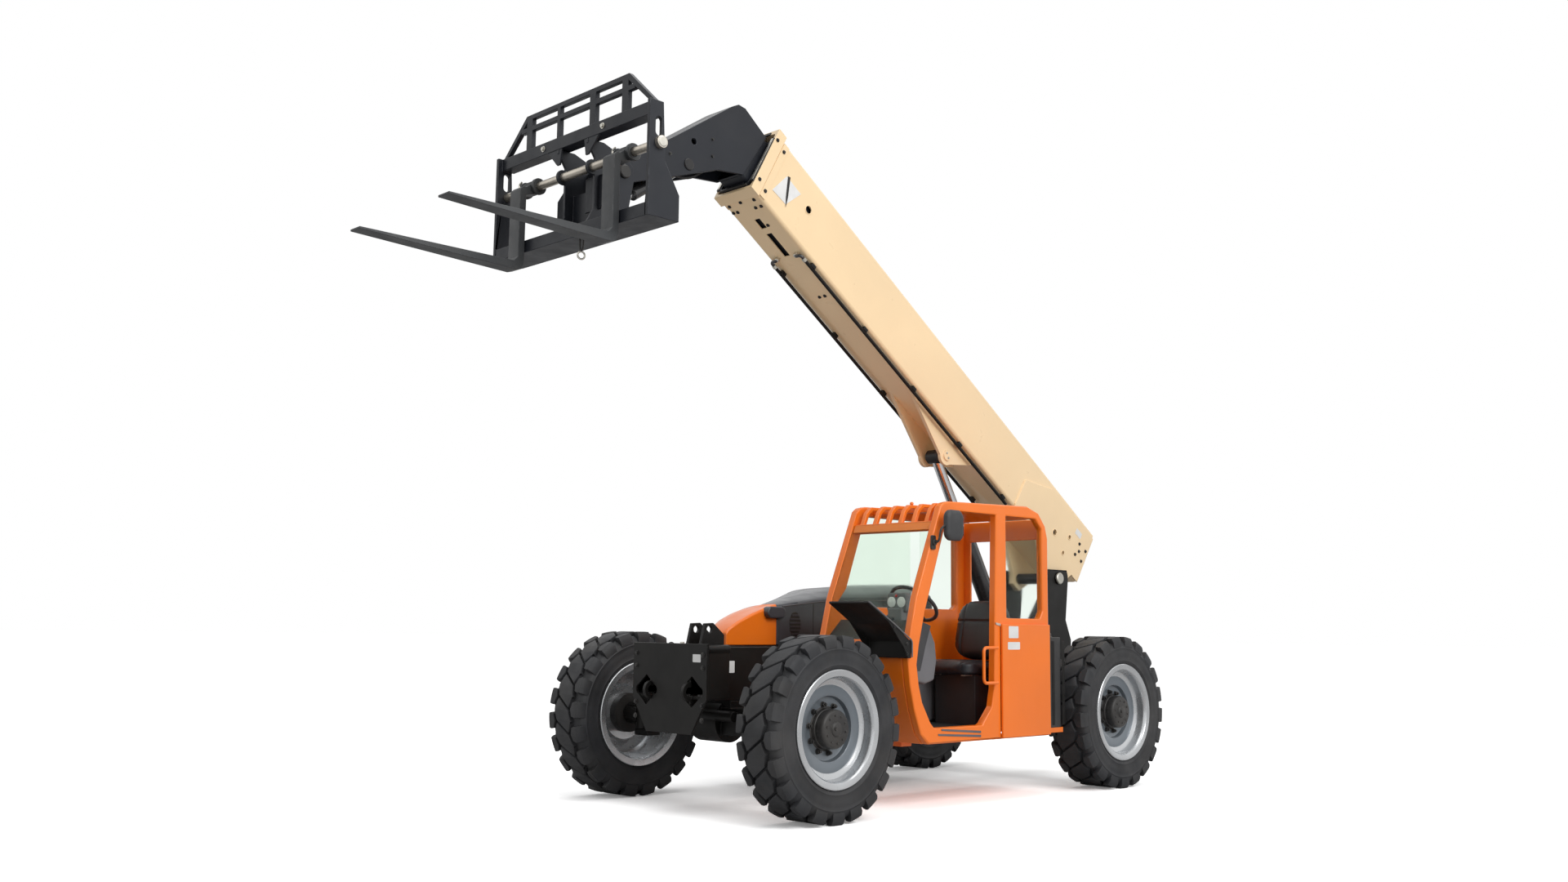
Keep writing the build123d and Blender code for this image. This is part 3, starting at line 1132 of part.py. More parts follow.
BACKREST_TOP = CARRIAGE_TOP + BACKREST_HEIGHT
with BuildPart() as backrest:
    with BuildSketch(front(SHAFT_X - 3)):
        outline([
            (CARRIAGE_HALF - 12, CARRIAGE_TOP), (BACKREST_HALF, BACKREST_TOP),
            (-BACKREST_HALF, BACKREST_TOP), (12 - CARRIAGE_HALF, CARRIAGE_TOP),
            (60 - CARRIAGE_HALF, CARRIAGE_TOP),
            (-BACKREST_HALF + 20, BACKREST_TOP - BACKREST_BAR),
            (BACKREST_HALF - 20, BACKREST_TOP - BACKREST_BAR), (CARRIAGE_HALF - 60, CARRIAGE_TOP),
        ])
        for y, width in ((560, 70), (200, 70), (-200, BACKREST_BAR), (-560, 70)):
            with Locations((y, (CARRIAGE_TOP + BACKREST_TOP) / 2)):
                Rectangle(width, BACKREST_HEIGHT)
        with Locations((0, CARRIAGE_TOP + 0.6 * BACKREST_HEIGHT)):
            Rectangle(2 * BACKREST_HALF + 130, BACKREST_BAR)
    extrude(amount=BACKREST_BAR)
finish(backrest.part, "load_backrest")

with BuildPart() as fork_shaft:
    with BuildSketch(side(CARRIAGE_HALF + 34)):
        with Locations((SHAFT_X, SHAFT_Z)):
            Circle(SHAFT_RADIUS)
    extrude(amount=2 * (CARRIAGE_HALF + 34))
    for hand in (1, -1):
        with BuildSketch(side(hand * (CARRIAGE_HALF + 34))):
            with Locations((SHAFT_X, SHAFT_Z)):
                Circle(SHAFT_RADIUS + 12)
        extrude(amount=hand * (34 - FACE_GAP))
finish(fork_shaft.part, "fork_shaft")

FORK_TIP_X = FORK_BACK_X + FORK_THICKNESS + FORK_LENGTH
for side_name, hand in SIDES:
    with BuildPart() as fork:
        with BuildSketch(side(hand * FORK_CENTRE_Y + FORK_WIDTH / 2)):
            with BuildLine():
                Polyline(
                    (FORK_BACK_X, FORK_SHANK_TOP), (FORK_BACK_X, FORK_HEEL_Z + 60),
                    (FORK_BACK_X + 14, FORK_HEEL_Z + 14), (FORK_BACK_X + 60, FORK_HEEL_Z),
                    (FORK_TIP_X, FORK_TOP_Z - FORK_TIP_THICKNESS),
                    (FORK_TIP_X, FORK_TOP_Z), (FORK_BACK_X + FORK_THICKNESS + 30, FORK_TOP_Z),
                    (FORK_BACK_X + FORK_THICKNESS, FORK_TOP_Z + 32),
                    (FORK_BACK_X + FORK_THICKNESS, FORK_SHANK_TOP - 25),
                    (FORK_BACK_X + 30, FORK_SHANK_TOP), (FORK_BACK_X, FORK_SHANK_TOP),
                )
            make_face()
            outline([
                (SHAFT_X, SHAFT_Z + 52), (FORK_BACK_X + 10, FORK_SHANK_TOP - 5),
                (FORK_BACK_X + 10, SHAFT_Z - 80),
                (SHAFT_X, SHAFT_Z - 52),
            ])
            with Locations((SHAFT_X, SHAFT_Z)):
                Circle(52)
                Circle(SHAFT_RADIUS + FACE_GAP, mode=Mode.SUBTRACT)
        extrude(amount=FORK_WIDTH)
    finish(fork.part, f"fork_{side_name}")
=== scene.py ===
"""Looks for the telehandler: materials, rounded and detailed pieces, camera, light and floor.

Metres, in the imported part's own frame: +X forward, +Y to the machine's left, +Z up, floor at Z = 0.
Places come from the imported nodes' boxes and from the joints. at() measures from the floor midway
between the axles, and on_boom() from the boom's pivot, along the raised boom and up from it.
"""

import json
import math

import bmesh
import bpy
from mathutils import Matrix, Vector


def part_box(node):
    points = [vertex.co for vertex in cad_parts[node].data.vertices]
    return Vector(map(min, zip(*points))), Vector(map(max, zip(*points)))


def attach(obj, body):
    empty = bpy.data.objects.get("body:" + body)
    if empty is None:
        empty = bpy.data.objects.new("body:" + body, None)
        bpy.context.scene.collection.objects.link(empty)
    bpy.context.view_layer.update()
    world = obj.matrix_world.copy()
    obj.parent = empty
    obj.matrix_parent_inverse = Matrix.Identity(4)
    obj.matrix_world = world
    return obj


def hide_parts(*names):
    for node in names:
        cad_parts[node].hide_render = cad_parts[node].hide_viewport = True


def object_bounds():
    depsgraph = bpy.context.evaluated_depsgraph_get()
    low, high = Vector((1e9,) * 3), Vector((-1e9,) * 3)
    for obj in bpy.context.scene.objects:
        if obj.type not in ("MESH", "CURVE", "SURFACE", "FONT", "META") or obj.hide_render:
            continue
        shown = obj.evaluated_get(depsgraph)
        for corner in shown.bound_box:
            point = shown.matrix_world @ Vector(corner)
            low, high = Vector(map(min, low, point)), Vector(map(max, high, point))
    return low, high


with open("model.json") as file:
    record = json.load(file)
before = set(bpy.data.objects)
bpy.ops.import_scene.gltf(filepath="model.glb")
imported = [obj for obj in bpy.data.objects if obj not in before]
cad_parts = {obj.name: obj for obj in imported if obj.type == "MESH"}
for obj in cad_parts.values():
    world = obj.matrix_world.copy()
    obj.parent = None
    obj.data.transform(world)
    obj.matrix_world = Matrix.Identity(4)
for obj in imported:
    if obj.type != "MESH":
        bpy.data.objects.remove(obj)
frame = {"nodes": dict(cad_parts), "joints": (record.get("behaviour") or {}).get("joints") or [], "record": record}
cad_low, cad_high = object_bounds()

JOINTS = {joint["name"]: joint for joint in frame["joints"]}
BODY_OF = {node: body for body, nodes in frame["record"]["behaviour"]["bodies"].items() for node in nodes}
SLOT_OF = {row["node"]: row["material_slot"] for row in frame["record"]["subparts"]}
CHASSIS, OUTER, INNER, CARRIAGE = (
    BODY_OF[node] for node in ("hood", "boom_base", "boom_head", "carriage_frame")
)
WHEELS = (("front_left", 1), ("front_right", -1), ("rear_left", 1), ("rear_right", -1))
SIDES = (("left", 1), ("right", -1))
FORWARD, LEFT, TOP = Vector((1, 0, 0)), Vector((0, 1, 0)), Vector((0, 0, 1))


def joint_point(name):
    """Where a joint's axis stands, in the part's frame."""
    return Vector(JOINTS[name]["pos_m"])


MID_X = (joint_point("front_left_spin").x + joint_point("rear_left_spin").x) / 2
PIVOT = joint_point("boom_lift")
ALONG = Vector(JOINTS["boom_middle_slide"]["axis"])
UP = Vector((-ALONG.z, 0, ALONG.x))
CHEEK_FACE, BOX_FACE = 0.2145, 0.2005  # half widths over the boom's cheek plates and over its box


def at(x, y, z):
    """Point x forward of the middle between the axles, y to the left of it and z above the floor."""
    return Vector((MID_X + x, y, z))


def on_boom(along, up, y=0.0):
    """Point along and up from the boom's pivot, y to the left of the machine's middle."""
    return PIVOT + ALONG * along + UP * up + LEFT * y


def new_object(name, data):
    """Object of a mesh, lamp or camera, put in the scene."""
    thing = bpy.data.objects.new(name, data)
    bpy.context.scene.collection.objects.link(thing)
    return thing


# ---- materials
COAT_ROUGHNESS = 0.12
RUBBED_WIDTH = 0.006  # of the worn band along an edge


def shader(name, colour, roughness, metallic=0.0, coat=0.0, spread=0.10, patch=1.4, dust=0.0,
           dust_colour=(0.30, 0.27, 0.23), grain=0.0, grain_scale=900.0, wave=0.0, worn=None,
           gleam=0.5):
    """Painted, moulded or cast finish: patchy colour, dust, uneven gloss and a fine grain.

    spread is how far the colour wanders in patches of about 1 / patch metres, dust how much of
    the surface it covers, grain the bump's height in metres, wave a slow ripple of the sheet,
    worn the colour that shows along rubbed edges, and gleam how much the bare surface reflects.
    """
    mat = bpy.data.materials.new(name)
    mat.use_nodes = True
    nodes, links = mat.node_tree.nodes, mat.node_tree.links
    bsdf = nodes["Principled BSDF"]
    bsdf.inputs["Metallic"].default_value = metallic
    bsdf.inputs["Coat Weight"].default_value = coat
    bsdf.inputs["Coat Roughness"].default_value = COAT_ROUGHNESS
    bsdf.inputs["Specular IOR Level"].default_value = gleam
    place = nodes.new("ShaderNodeTexCoord").outputs["Object"]

    def noise(scale, detail, distortion=0.0):
        node = nodes.new("ShaderNodeTexNoise")
        node.inputs["Scale"].default_value = scale
        node.inputs["Detail"].default_value = detail
        node.inputs["Distortion"].default_value = distortion
        links.new(place, node.inputs["Vector"])
        return node.outputs["Fac"]

    def spread_over(value, low, high, to_low, to_high):
        node = nodes.new("ShaderNodeMapRange")
        for name, number in (("From Min", low), ("From Max", high), ("To Min", to_low), ("To Max", to_high)):
            node.inputs[name].default_value = number
        links.new(value, node.inputs["Value"])
        return node.outputs["Result"]

    def blend(amount, first, second):
        node = nodes.new("ShaderNodeMix")
        node.data_type = "RGBA"
        links.new(amount, node.inputs["Factor"])
        for socket, value in ((node.inputs["A"], first), (node.inputs["B"], second)):
            if isinstance(value, bpy.types.NodeSocket):
                links.new(value, socket)
            else:
                socket.default_value = (*value, 1.0)
        return node.outputs["Result"]

    light = [min(1.0, c * (1 + spread)) for c in colour]
    dark = [c * (1 - spread) for c in colour]
    shade = blend(spread_over(noise(patch, 5.0, 0.4), 0.35, 0.65, 0.0, 1.0), dark, light)
    if worn:
        soft = nodes.new("ShaderNodeBevel")
        soft.samples = 4
        soft.inputs["Radius"].default_value = RUBBED_WIDTH
        edge = nodes.new("ShaderNodeVectorMath")
        edge.operation = "DOT_PRODUCT"
        links.new(soft.outputs["Normal"], edge.inputs[0])
        links.new(nodes.new("ShaderNodeNewGeometry").outputs["Normal"], edge.inputs[1])
        rub = nodes.new("ShaderNodeMath")
        rub.operation = "MULTIPLY"
        links.new(spread_over(edge.outputs["Value"], 0.99, 0.85, 0.0, 0.8), rub.inputs[0])
        links.new(spread_over(noise(14.0, 6.0), 0.46, 0.62, 0.0, 1.0), rub.inputs[1])
        shade = blend(rub.outputs["Value"], shade, worn)
    if dust:
        shade = blend(spread_over(noise(3.0, 4.0, 0.6), 0.35, 0.85, 0.0, dust), shade, dust_colour)
    links.new(shade, bsdf.inputs["Base Color"])
    gloss = spread_over(noise(7.0, 6.0, 0.3), 0.3, 0.7, max(0.03, roughness - 0.07), roughness + 0.09)
    links.new(gloss, bsdf.inputs["Roughness"])
    if grain or wave:
        bump = nodes.new("ShaderNodeBump")
        bump.inputs["Strength"].default_value = 1.0
        bump.inputs["Distance"].default_value = grain or wave
        links.new(noise(grain_scale if grain else 6.0, 3.0), bump.inputs["Height"])
        links.new(bump.outputs["Normal"], bsdf.inputs["Normal"])
    return mat


def clear_glass(name, tint):
    """Tinted safety glass with faint smears."""
    mat = shader(name, tint, 0.03, spread=0.02)
    bsdf = mat.node_tree.nodes["Principled BSDF"]
    bsdf.inputs["Transmission Weight"].default_value = 1.0
    bsdf.inputs["IOR"].default_value = 1.12
    return mat


PAINTS = {  # colour, roughness and what else shader() takes
    "tyre": ((0.019, 0.020, 0.023), 0.58, dict(spread=0.25, patch=6, dust=0.09, grain=0.0007,
        grain_scale=260, gleam=0.42)),
    "rim_silver": ((0.56, 0.575, 0.59), 0.26, dict(metallic=0.75, coat=0.3, dust=0.10, wave=0.0006,
        worn=(0.75, 0.76, 0.78))),
    "boom_cream": ((0.96, 0.72, 0.43), 0.34, dict(coat=0.35, spread=0.035, patch=0.9, dust=0.03, wave=0.0008,
        worn=(0.80, 0.62, 0.42))),
    "orange": ((0.96, 0.195, 0.006), 0.36, dict(coat=0.22, spread=0.05, patch=1.2, dust=0.03, wave=0.0006,
        worn=(0.99, 0.36, 0.10))),
    "hood_black": ((0.036, 0.041, 0.050), 0.40, dict(coat=0.2, dust=0.03, grain=0.0002,
        grain_scale=500)),
    "chassis_black": ((0.0075, 0.0070, 0.0066), 0.45, dict(coat=0.03, spread=0.2, dust=0.02, wave=0.0007,
        worn=(0.07, 0.065, 0.06), gleam=0.22)),
    "head_black": ((0.012, 0.0140, 0.0195), 0.40, dict(coat=0.05, spread=0.12, dust=0.02, wave=0.0008,
        worn=(0.12, 0.13, 0.15), gleam=0.30)),
    "fork_steel": ((0.042, 0.045, 0.048), 0.45, dict(metallic=0.2, spread=0.12, dust=0.06, grain=0.0003,
        grain_scale=240, worn=(0.22, 0.22, 0.22))),
    "cylinder_black": ((0.020, 0.020, 0.022), 0.28, dict(coat=0.5, spread=0.15, dust=0.06, wave=0.0004,
        worn=(0.10, 0.10, 0.10))),
    "rod_chrome": ((0.78, 0.79, 0.80), 0.11, dict(metallic=1.0, spread=0.03, wave=0.0001)),
    "shaft_steel": ((0.63, 0.58, 0.50), 0.33, dict(metallic=0.85, spread=0.16, patch=7, dust=0.15,
        dust_colour=(0.20, 0.14, 0.09), wave=0.0003)),
    "engine": ((0.09, 0.09, 0.09), 0.55, dict(metallic=0.4, spread=0.3, patch=9, dust=0.2, grain=0.0015,
        grain_scale=120)),
    "interior_black": ((0.028, 0.029, 0.032), 0.52, dict(spread=0.12, patch=4, dust=0.06, grain=0.0004,
        grain_scale=520)),
    "seat_black": ((0.020, 0.022, 0.027), 0.40, dict(spread=0.15, patch=5, grain=0.0006, grain_scale=420)),
    "tank_black": ((0.020, 0.020, 0.021), 0.45, dict(spread=0.15, dust=0.08, grain=0.0005, grain_scale=350)),
    "disc_grey": ((0.165, 0.190, 0.215), 0.34, dict(metallic=0.35, coat=0.2, dust=0.08, wave=0.0005,
        worn=(0.42, 0.43, 0.44))),
    "nut_black": ((0.014, 0.014, 0.015), 0.45, dict(metallic=0.3, spread=0.2, dust=0.12, wave=0.0004,
        worn=(0.16, 0.15, 0.14))),
    "hub_black": ((0.016, 0.015, 0.015), 0.50, dict(spread=0.3, patch=8, dust=0.14, grain=0.0009,
        grain_scale=150, worn=(0.09, 0.085, 0.08))),
    "zinc": ((0.60, 0.58, 0.52), 0.36, dict(metallic=0.9, spread=0.15, patch=12, dust=0.1, wave=0.0002)),
    "blank_plate": ((0.80, 0.80, 0.79), 0.45, dict(spread=0.04, patch=9, dust=0.08, grain=0.0001)),
    "grey_plastic": ((0.13, 0.13, 0.14), 0.55, dict(patch=4, dust=0.08, grain=0.0004,
        grain_scale=480)),
    "rubber": ((0.015, 0.015, 0.016), 0.62, dict(spread=0.2, patch=8, dust=0.10, grain=0.0003,
        grain_scale=400)),
    "lamp_red": ((0.55, 0.02, 0.015), 0.15, dict(coat=0.6, spread=0.08, wave=0.0003)),
    "dial": ((0.70, 0.71, 0.72), 0.30, dict(patch=20, wave=0.0002)),
}
FINISH = {name: shader(name, *first, **rest) for name, (*first, rest) in PAINTS.items()}
FINISH["glass"] = clear_glass("glass", (0.88, 0.955, 0.89))

# ---- making pieces
SHARP = 32  # degrees between faces, over which an edge is sharp and gets rounded
FLAT = math.radians(0.8)  # facets that turn less than this are one face


def mesh_from(bm, name):
    """Finish a bmesh: merge what meets, face it outward and turn it into a mesh."""
    bmesh.ops.remove_doubles(bm, verts=bm.verts, dist=1e-5)
    bmesh.ops.recalc_face_normals(bm, faces=bm.faces)
    mesh = bpy.data.meshes.new(name)
    bm.to_mesh(mesh)
    bm.free()
    return mesh


def add_piece(name, form, body, finish, replaces=(), bevel=0.0, segments=2, smooth=SHARP):
    """Put a mesh or bmesh in the scene as a piece that rides on a body, finished and rounded."""
    mesh = mesh_from(form, name) if isinstance(form, bmesh.types.BMesh) else form
    piece = new_object(name, mesh)
    mesh.materials.clear()
    mesh.materials.append(FINISH[finish])
    mesh.shade_smooth()
    mesh.set_sharp_from_angle(angle=math.radians(smooth))
    if bevel:
        rounding = piece.modifiers.new("rounding", "BEVEL")
        rounding.width = bevel
        rounding.segments = segments
        rounding.limit_method = "ANGLE"
        rounding.angle_limit = math.radians(smooth)
        rounding.use_clamp_overlap = False
        rounding.harden_normals = True
    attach(piece, body)
    if replaces:
        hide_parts(*replaces)
    return piece


def merge_facets(bm):
    """Join the facets that lie in one plane."""
    bmesh.ops.dissolve_limit(bm, angle_limit=FLAT, verts=bm.verts, edges=bm.edges)


def form_of(node):
    """A CAD node's own form as a bmesh."""
    bm = bmesh.new()
    bm.from_mesh(frame["nodes"][node].data)
    bmesh.ops.remove_doubles(bm, verts=bm.verts, dist=2e-5)
    return bm


def dressed(node, bm, bevel, segments=2):
    """Piece that stands for a CAD node in the node's own finish, with its edges rounded."""
    add_piece(f"{node}_finished", bm, BODY_OF[node], SLOT_OF[node], (node,), bevel, segments)


def frame_at(origin, out, right=LEFT):
    """Matrix that stands at origin with its z along out, and its x near right or else near forward."""
    out = Vector(out).normalized()
    side = Vector(right)
    if side.cross(out).length < 1e-3:
        side = FORWARD
    side = (side - out * side.dot(out)).normalized()
    turn = Matrix((side, out.cross(side), out)).transposed()
    return Matrix.Translation(origin) @ turn.to_4x4()


def raised(place, height):
    """Place moved along its own z."""
    return place @ Matrix.Translation((0, 0, height))


def skin(bm, rings):
    """Closed solid over a row of rings that all have the same number of verts."""
    bm.faces.new(rings[0][::-1])
    bm.faces.new(rings[-1])
    for low, high in zip(rings, rings[1:]):
        for n in range(len(low)):
            m = (n + 1) % len(low)
            bm.faces.new((low[n], low[m], high[m], high[n]))


def lathe(bm, profile, place, steps=64, close=True):
    """Turn (radius, height) points round the z axis of place; close joins the last to the first."""
    rings = []
    for radius, height in profile:
        if radius < 1e-6:
            rings.append([bm.verts.new(place @ Vector((0, 0, height)))])
            continue
        rings.append([
            bm.verts.new(place @ Vector((radius * math.cos(t), radius * math.sin(t), height)))
            for t in (2 * math.pi * n / steps for n in range(steps))
        ])
    pairs = list(zip(rings, rings[1:]))
    if close:
        pairs.append((rings[-1], rings[0]))
    for low, high in pairs:
        for n in range(steps):
            corners = [ring[m % len(ring)] for ring, m in ((low, n), (low, n + 1), (high, n + 1), (high, n))]
            corners = [v for i, v in enumerate(corners) if v not in corners[:i]]
            if len(corners) > 2:
                bm.faces.new(corners)


def donut(bm, place, ring, thick, steps=72, sides=16):
    """Ring of a round section about the z axis of place."""
    lathe(bm, [(ring + x, y) for x, y in ring_of(thick, sides)], place, steps)


def prism(bm, outline, place, depth):
    """Solid from a flat outline of (x, y) points in place, depth deep along its z."""
    skin(bm, [[bm.verts.new(place @ Vector((x, y, z))) for x, y in outline] for z in (0, depth)])


def ring_of(radius, count, turn=0.0):
    """Points evenly round a circle."""
    turns = (turn + 2 * math.pi * n / count for n in range(count))
    return [(radius * math.cos(t), radius * math.sin(t)) for t in turns]


def moved(outline, dx, dy):
    """Outline shifted in its plane."""
    return [(x + dx, y + dy) for x, y in outline]


def rect(x0, y0, x1, y1):
    """Outline of a rectangle."""
    return [(x0, y0), (x1, y0), (x1, y1), (x0, y1)]


def round_rect(width, height, radius, x=0.0, y=0.0, steps=5):
    """Outline of a rectangle with round corners, about its middle x, y."""
    points = []
    for corner in range(4):
        cx = (width / 2 - radius) * (1 if corner in (0, 3) else -1)
        cy = (height / 2 - radius) * (1 if corner in (0, 1) else -1)
        for n in range(steps + 1):
            turn = math.pi / 2 * (corner + n / steps)
            points.append((cx + radius * math.cos(turn), cy + radius * math.sin(turn)))
    return moved(points, x, y)


def cap(top, face, radius, shoulder, foot=-0.004):
    """Profile of a solid cap: flat face at top, then its edge down from shoulder to foot."""
    return [(0, top), (face, top), (radius, shoulder), (radius, foot), (0, foot)]


def bolt(bm, place, radius):
    """Hexagon head on a washer."""
    prism(bm, ring_of(radius * 1.45, 20), place, radius * 0.22)
    prism(bm, ring_of(radius, 6, 0.3), raised(place, radius * 0.2), radius * 0.75)


def bolts(name, spots, body, radius, finish="nut_black"):
    """One piece with a bolt's head at each (point, direction)."""
    bm = bmesh.new()
    for point, out in spots:
        bolt(bm, frame_at(point, out, Vector((0.31, 0.9, 0.2))), radius)
    add_piece(name, bm, body, finish, bevel=radius * 0.06, segments=1)


def plates(name, body, finish, forms, bevel=0.002, segments=2):
    """One piece of several solids, each (outline, plane, depth)."""
    bm = bmesh.new()
    for outline, place, depth in forms:
        prism(bm, outline, place, depth)
    add_piece(name, bm, body, finish, (), bevel, segments)


def turned(name, body, finish, profiles, bevel=0.0, steps=40):
    """One piece of several turned solids, each (profile, place)."""
    bm = bmesh.new()
    for profile, place in profiles:
        lathe(bm, profile, place, steps, close=False)
    add_piece(name, bm, body, finish, (), bevel)


def tube(name, points, radius, body, finish, replaces=(), bend=0.0):
    """Round bar or pipe through points, with its corners bent to the radius bend."""
    curve = bpy.data.curves.new(name, "CURVE")
    curve.dimensions = "3D"
    curve.bevel_depth = radius
    curve.bevel_resolution = 6
    curve.use_fill_caps = True
    spline = curve.splines.new("BEZIER")
    places = []
    for n, point in enumerate(points):
        point = Vector(point)
        if 0 < n < len(points) - 1 and bend:
            back = (Vector(points[n - 1]) - point).normalized() * bend
            on = (Vector(points[n + 1]) - point).normalized() * bend
            places += [(point + back, None, point + back * 0.45), (point + on, point + on * 0.45, None)]
        else:
            places.append((point, None, None))
    spline.bezier_points.add(len(places) - 1)
    for knot, (co, before, after) in zip(spline.bezier_points, places):
        knot.co = co
        knot.handle_left_type = knot.handle_right_type = "FREE"
        knot.handle_left = before or co
        knot.handle_right = after or co
    spline.resolution_u = 8
    maker = bpy.data.objects.new(name + "_maker", curve)
    mesh = bpy.data.meshes.new_from_object(maker)
    bpy.data.objects.remove(maker)
    add_piece(name, mesh, body, finish, replaces, smooth=40)


# ---- planes for the added pieces
def beside(y, out=1):
    """Upright plane along the machine: local x forward, y up from the floor, z outward from the middle."""
    return Matrix.Translation(at(0, y, 0)) @ Matrix(((1, 0, 0), (0, 0, out), (0, 1, 0))).to_4x4()


def facing(x, out=1):
    """Upright plane across the machine: local x to the left, y up, z forward (out 1) or back (-1)."""
    return Matrix.Translation(at(x, 0, 0)) @ Matrix(((0, 0, out), (1, 0, 0), (0, 1, 0))).to_4x4()


def flat(z):
    """Level plane: local x forward, y to the left, z up."""
    return Matrix.Translation(at(0, 0, z))


def boom_side(y, out=1):
    """Plane beside the boom: local x along it, y up from its pivot, z outward."""
    return Matrix.Translation(PIVOT + LEFT * y) @ Matrix((ALONG, UP, LEFT * out)).transposed().to_4x4()


def boom_across(along):
    """Plane square to the boom: local x to the left, y up from the pivot, z forward along the boom."""
    return Matrix.Translation(PIVOT + ALONG * along) @ Matrix((LEFT, UP, ALONG)).transposed().to_4x4()


# ---- camera, light and floor
CAMERA_EYE = (8.0004, 7.8581, 1.319)
CAMERA_HEADING = 225.559  # degrees anticlockwise from +X
CAMERA_RISE = 7.426  # degrees above level
CAMERA_ROLL = -0.675  # degrees
CAMERA_LENS = 32.51  # on a 36 mm wide sensor

camera = new_object("camera", bpy.data.cameras.new("camera"))
camera.data.sensor_width = 36.0
camera.data.lens = CAMERA_LENS
camera.data.clip_end = 400.0
stand = Matrix.Translation(CAMERA_EYE)
for degrees, axis in ((CAMERA_HEADING - 90, "Z"), (CAMERA_RISE + 90, "X"), (-CAMERA_ROLL, "Z")):
    stand = stand @ Matrix.Rotation(math.radians(degrees), 4, axis)
camera.matrix_world = stand
bpy.context.scene.camera = camera
bpy.context.scene.view_settings.view_transform = "Standard"


def area_lamp(name, place, aim, power, size):
    """Soft square lamp at a place, turned to what it lights."""
    lamp = bpy.data.lights.new(name, "AREA")
    lamp.energy = power
    lamp.size = size
    new_object(name, lamp).matrix_world = frame_at(place, place - aim)


MIDDLE = (cad_low + cad_high) / 2
area_lamp("lamp_left", MIDDLE + Vector((1.5, 13.0, 6.5)), MIDDLE, 1050.0, 8.0)
area_lamp("lamp_top", MIDDLE + Vector((0.5, 1.0, 10.0)), MIDDLE, 380.0, 9.0)


def by_ray(tree, socket, kinds, unseen, shown):
    """Feed a socket the number shown for these kinds of ray, and unseen for the others."""
    rays = tree.nodes.new("ShaderNodeLightPath").outputs
    either = rays[kinds[0]]
    for kind in kinds[1:]:
        larger = tree.nodes.new("ShaderNodeMath")
        larger.operation = "MAXIMUM"
        tree.links.new(either, larger.inputs[0])
        tree.links.new(rays[kind], larger.inputs[1])
        either = larger.outputs["Value"]
    level = tree.nodes.new("ShaderNodeMapRange")
    level.inputs["To Min"].default_value = unseen
    level.inputs["To Max"].default_value = shown
    tree.links.new(either, level.inputs["Value"])
    tree.links.new(level.outputs["Result"], socket)


world = bpy.data.worlds.new("world")
bpy.context.scene.world = world
world.use_nodes = True
backdrop = world.node_tree.nodes["Background"]
backdrop.inputs["Color"].default_value = (1, 1, 1, 1)
by_ray(world.node_tree, backdrop.inputs["Strength"],
       ("Is Camera Ray", "Is Transmission Ray", "Is Glossy Ray"), 0.50, 1.0)

# floor: white to the camera, and it still darkens under the machine
floor_mesh = bpy.data.meshes.new("floor")
bm = bmesh.new()
bmesh.ops.create_circle(bm, cap_ends=True, segments=96, radius=140.0)
bm.to_mesh(floor_mesh)
bm.free()
floor = new_object("floor", floor_mesh)
floor_look = bpy.data.materials.new("floor")
floor_look.use_nodes = True
tree = floor_look.node_tree
tree.nodes.remove(tree.nodes["Principled BSDF"])
matt = tree.nodes.new("ShaderNodeBsdfDiffuse")
glow = tree.nodes.new("ShaderNodeEmission")
glow.inputs["Color"].default_value = (1, 1, 1, 1)
by_ray(tree, glow.inputs["Strength"], ("Is Camera Ray",), 0.0, 0.16)
by_ray(tree, matt.inputs["Color"], ("Is Camera Ray",), 0.62, 1.75)
both = tree.nodes.new("ShaderNodeAddShader")
tree.links.new(matt.outputs["BSDF"], both.inputs[0])
tree.links.new(glow.outputs["Emission"], both.inputs[1])
tree.links.new(both.outputs["Shader"], tree.nodes["Material Output"].inputs["Surface"])
floor_mesh.materials.append(floor_look)

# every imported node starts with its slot's finish; the pieces below stand for most of them
for node, thing in frame["nodes"].items():
    thing.data.materials.clear()
    thing.data.materials.append(FINISH[SLOT_OF[node]])

# ---- wheels
TYRE_LOW, TYRE_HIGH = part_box("front_left_tyre")
TYRE_R = (TYRE_HIGH.z - TYRE_LOW.z) / 2
TYRE_HALF = (TYRE_HIGH.y - TYRE_LOW.y) / 2
LUG_H = 0.034
BODY_R = TYRE_R - LUG_H
BLOCKS = 21  # tread blocks of each row, round the tyre
PITCH = 2 * math.pi * TYRE_R / BLOCKS
MIDDLE_BLOCK = (  # across, round the tread
    (-0.106, 0), (-0.072, -0.087), (0.072, PITCH / 2 - 0.087), (0.106, PITCH / 2),
    (0.072, PITCH / 2 + 0.087), (-0.072, 0.087),
)
SHOULDER_MIDDLE = 0.137  # across
SHOULDER_BLOCK = (  # across, round the tread, how far its foot reaches out and down the shoulder
    (0.092, 0, 0), (0.112, -0.056, 0), (0.148, -0.067, 0.2), (0.165, -0.063, 1), (0.165, 0.063, 1),
    (0.148, 0.067, 0.2), (0.112, 0.056, 0),
)
BEAD_R = 0.357
FLANGE_R = 0.400
TYRE_PROFILE = [  # radius, distance from the tyre's middle plane
    (radius, TYRE_HALF - inset) for radius, inset in (
        (BEAD_R, 0.040), (BEAD_R + 0.010, 0.021), (FLANGE_R + 0.003, 0.019), (FLANGE_R + 0.010, 0.010),
        (FLANGE_R + 0.024, 0.006), (FLANGE_R + 0.030, 0.002), (FLANGE_R + 0.038, 0.005),
        (FLANGE_R + 0.070, 0.001), (FLANGE_R + 0.105, 0.0015), (FLANGE_R + 0.128, 0.004),
        (FLANGE_R + 0.134, 0.001), (FLANGE_R + 0.146, 0.006), (BODY_R - 0.022, 0.016),
        (BODY_R - 0.006, 0.034), (BODY_R, 0.062),
    )
]


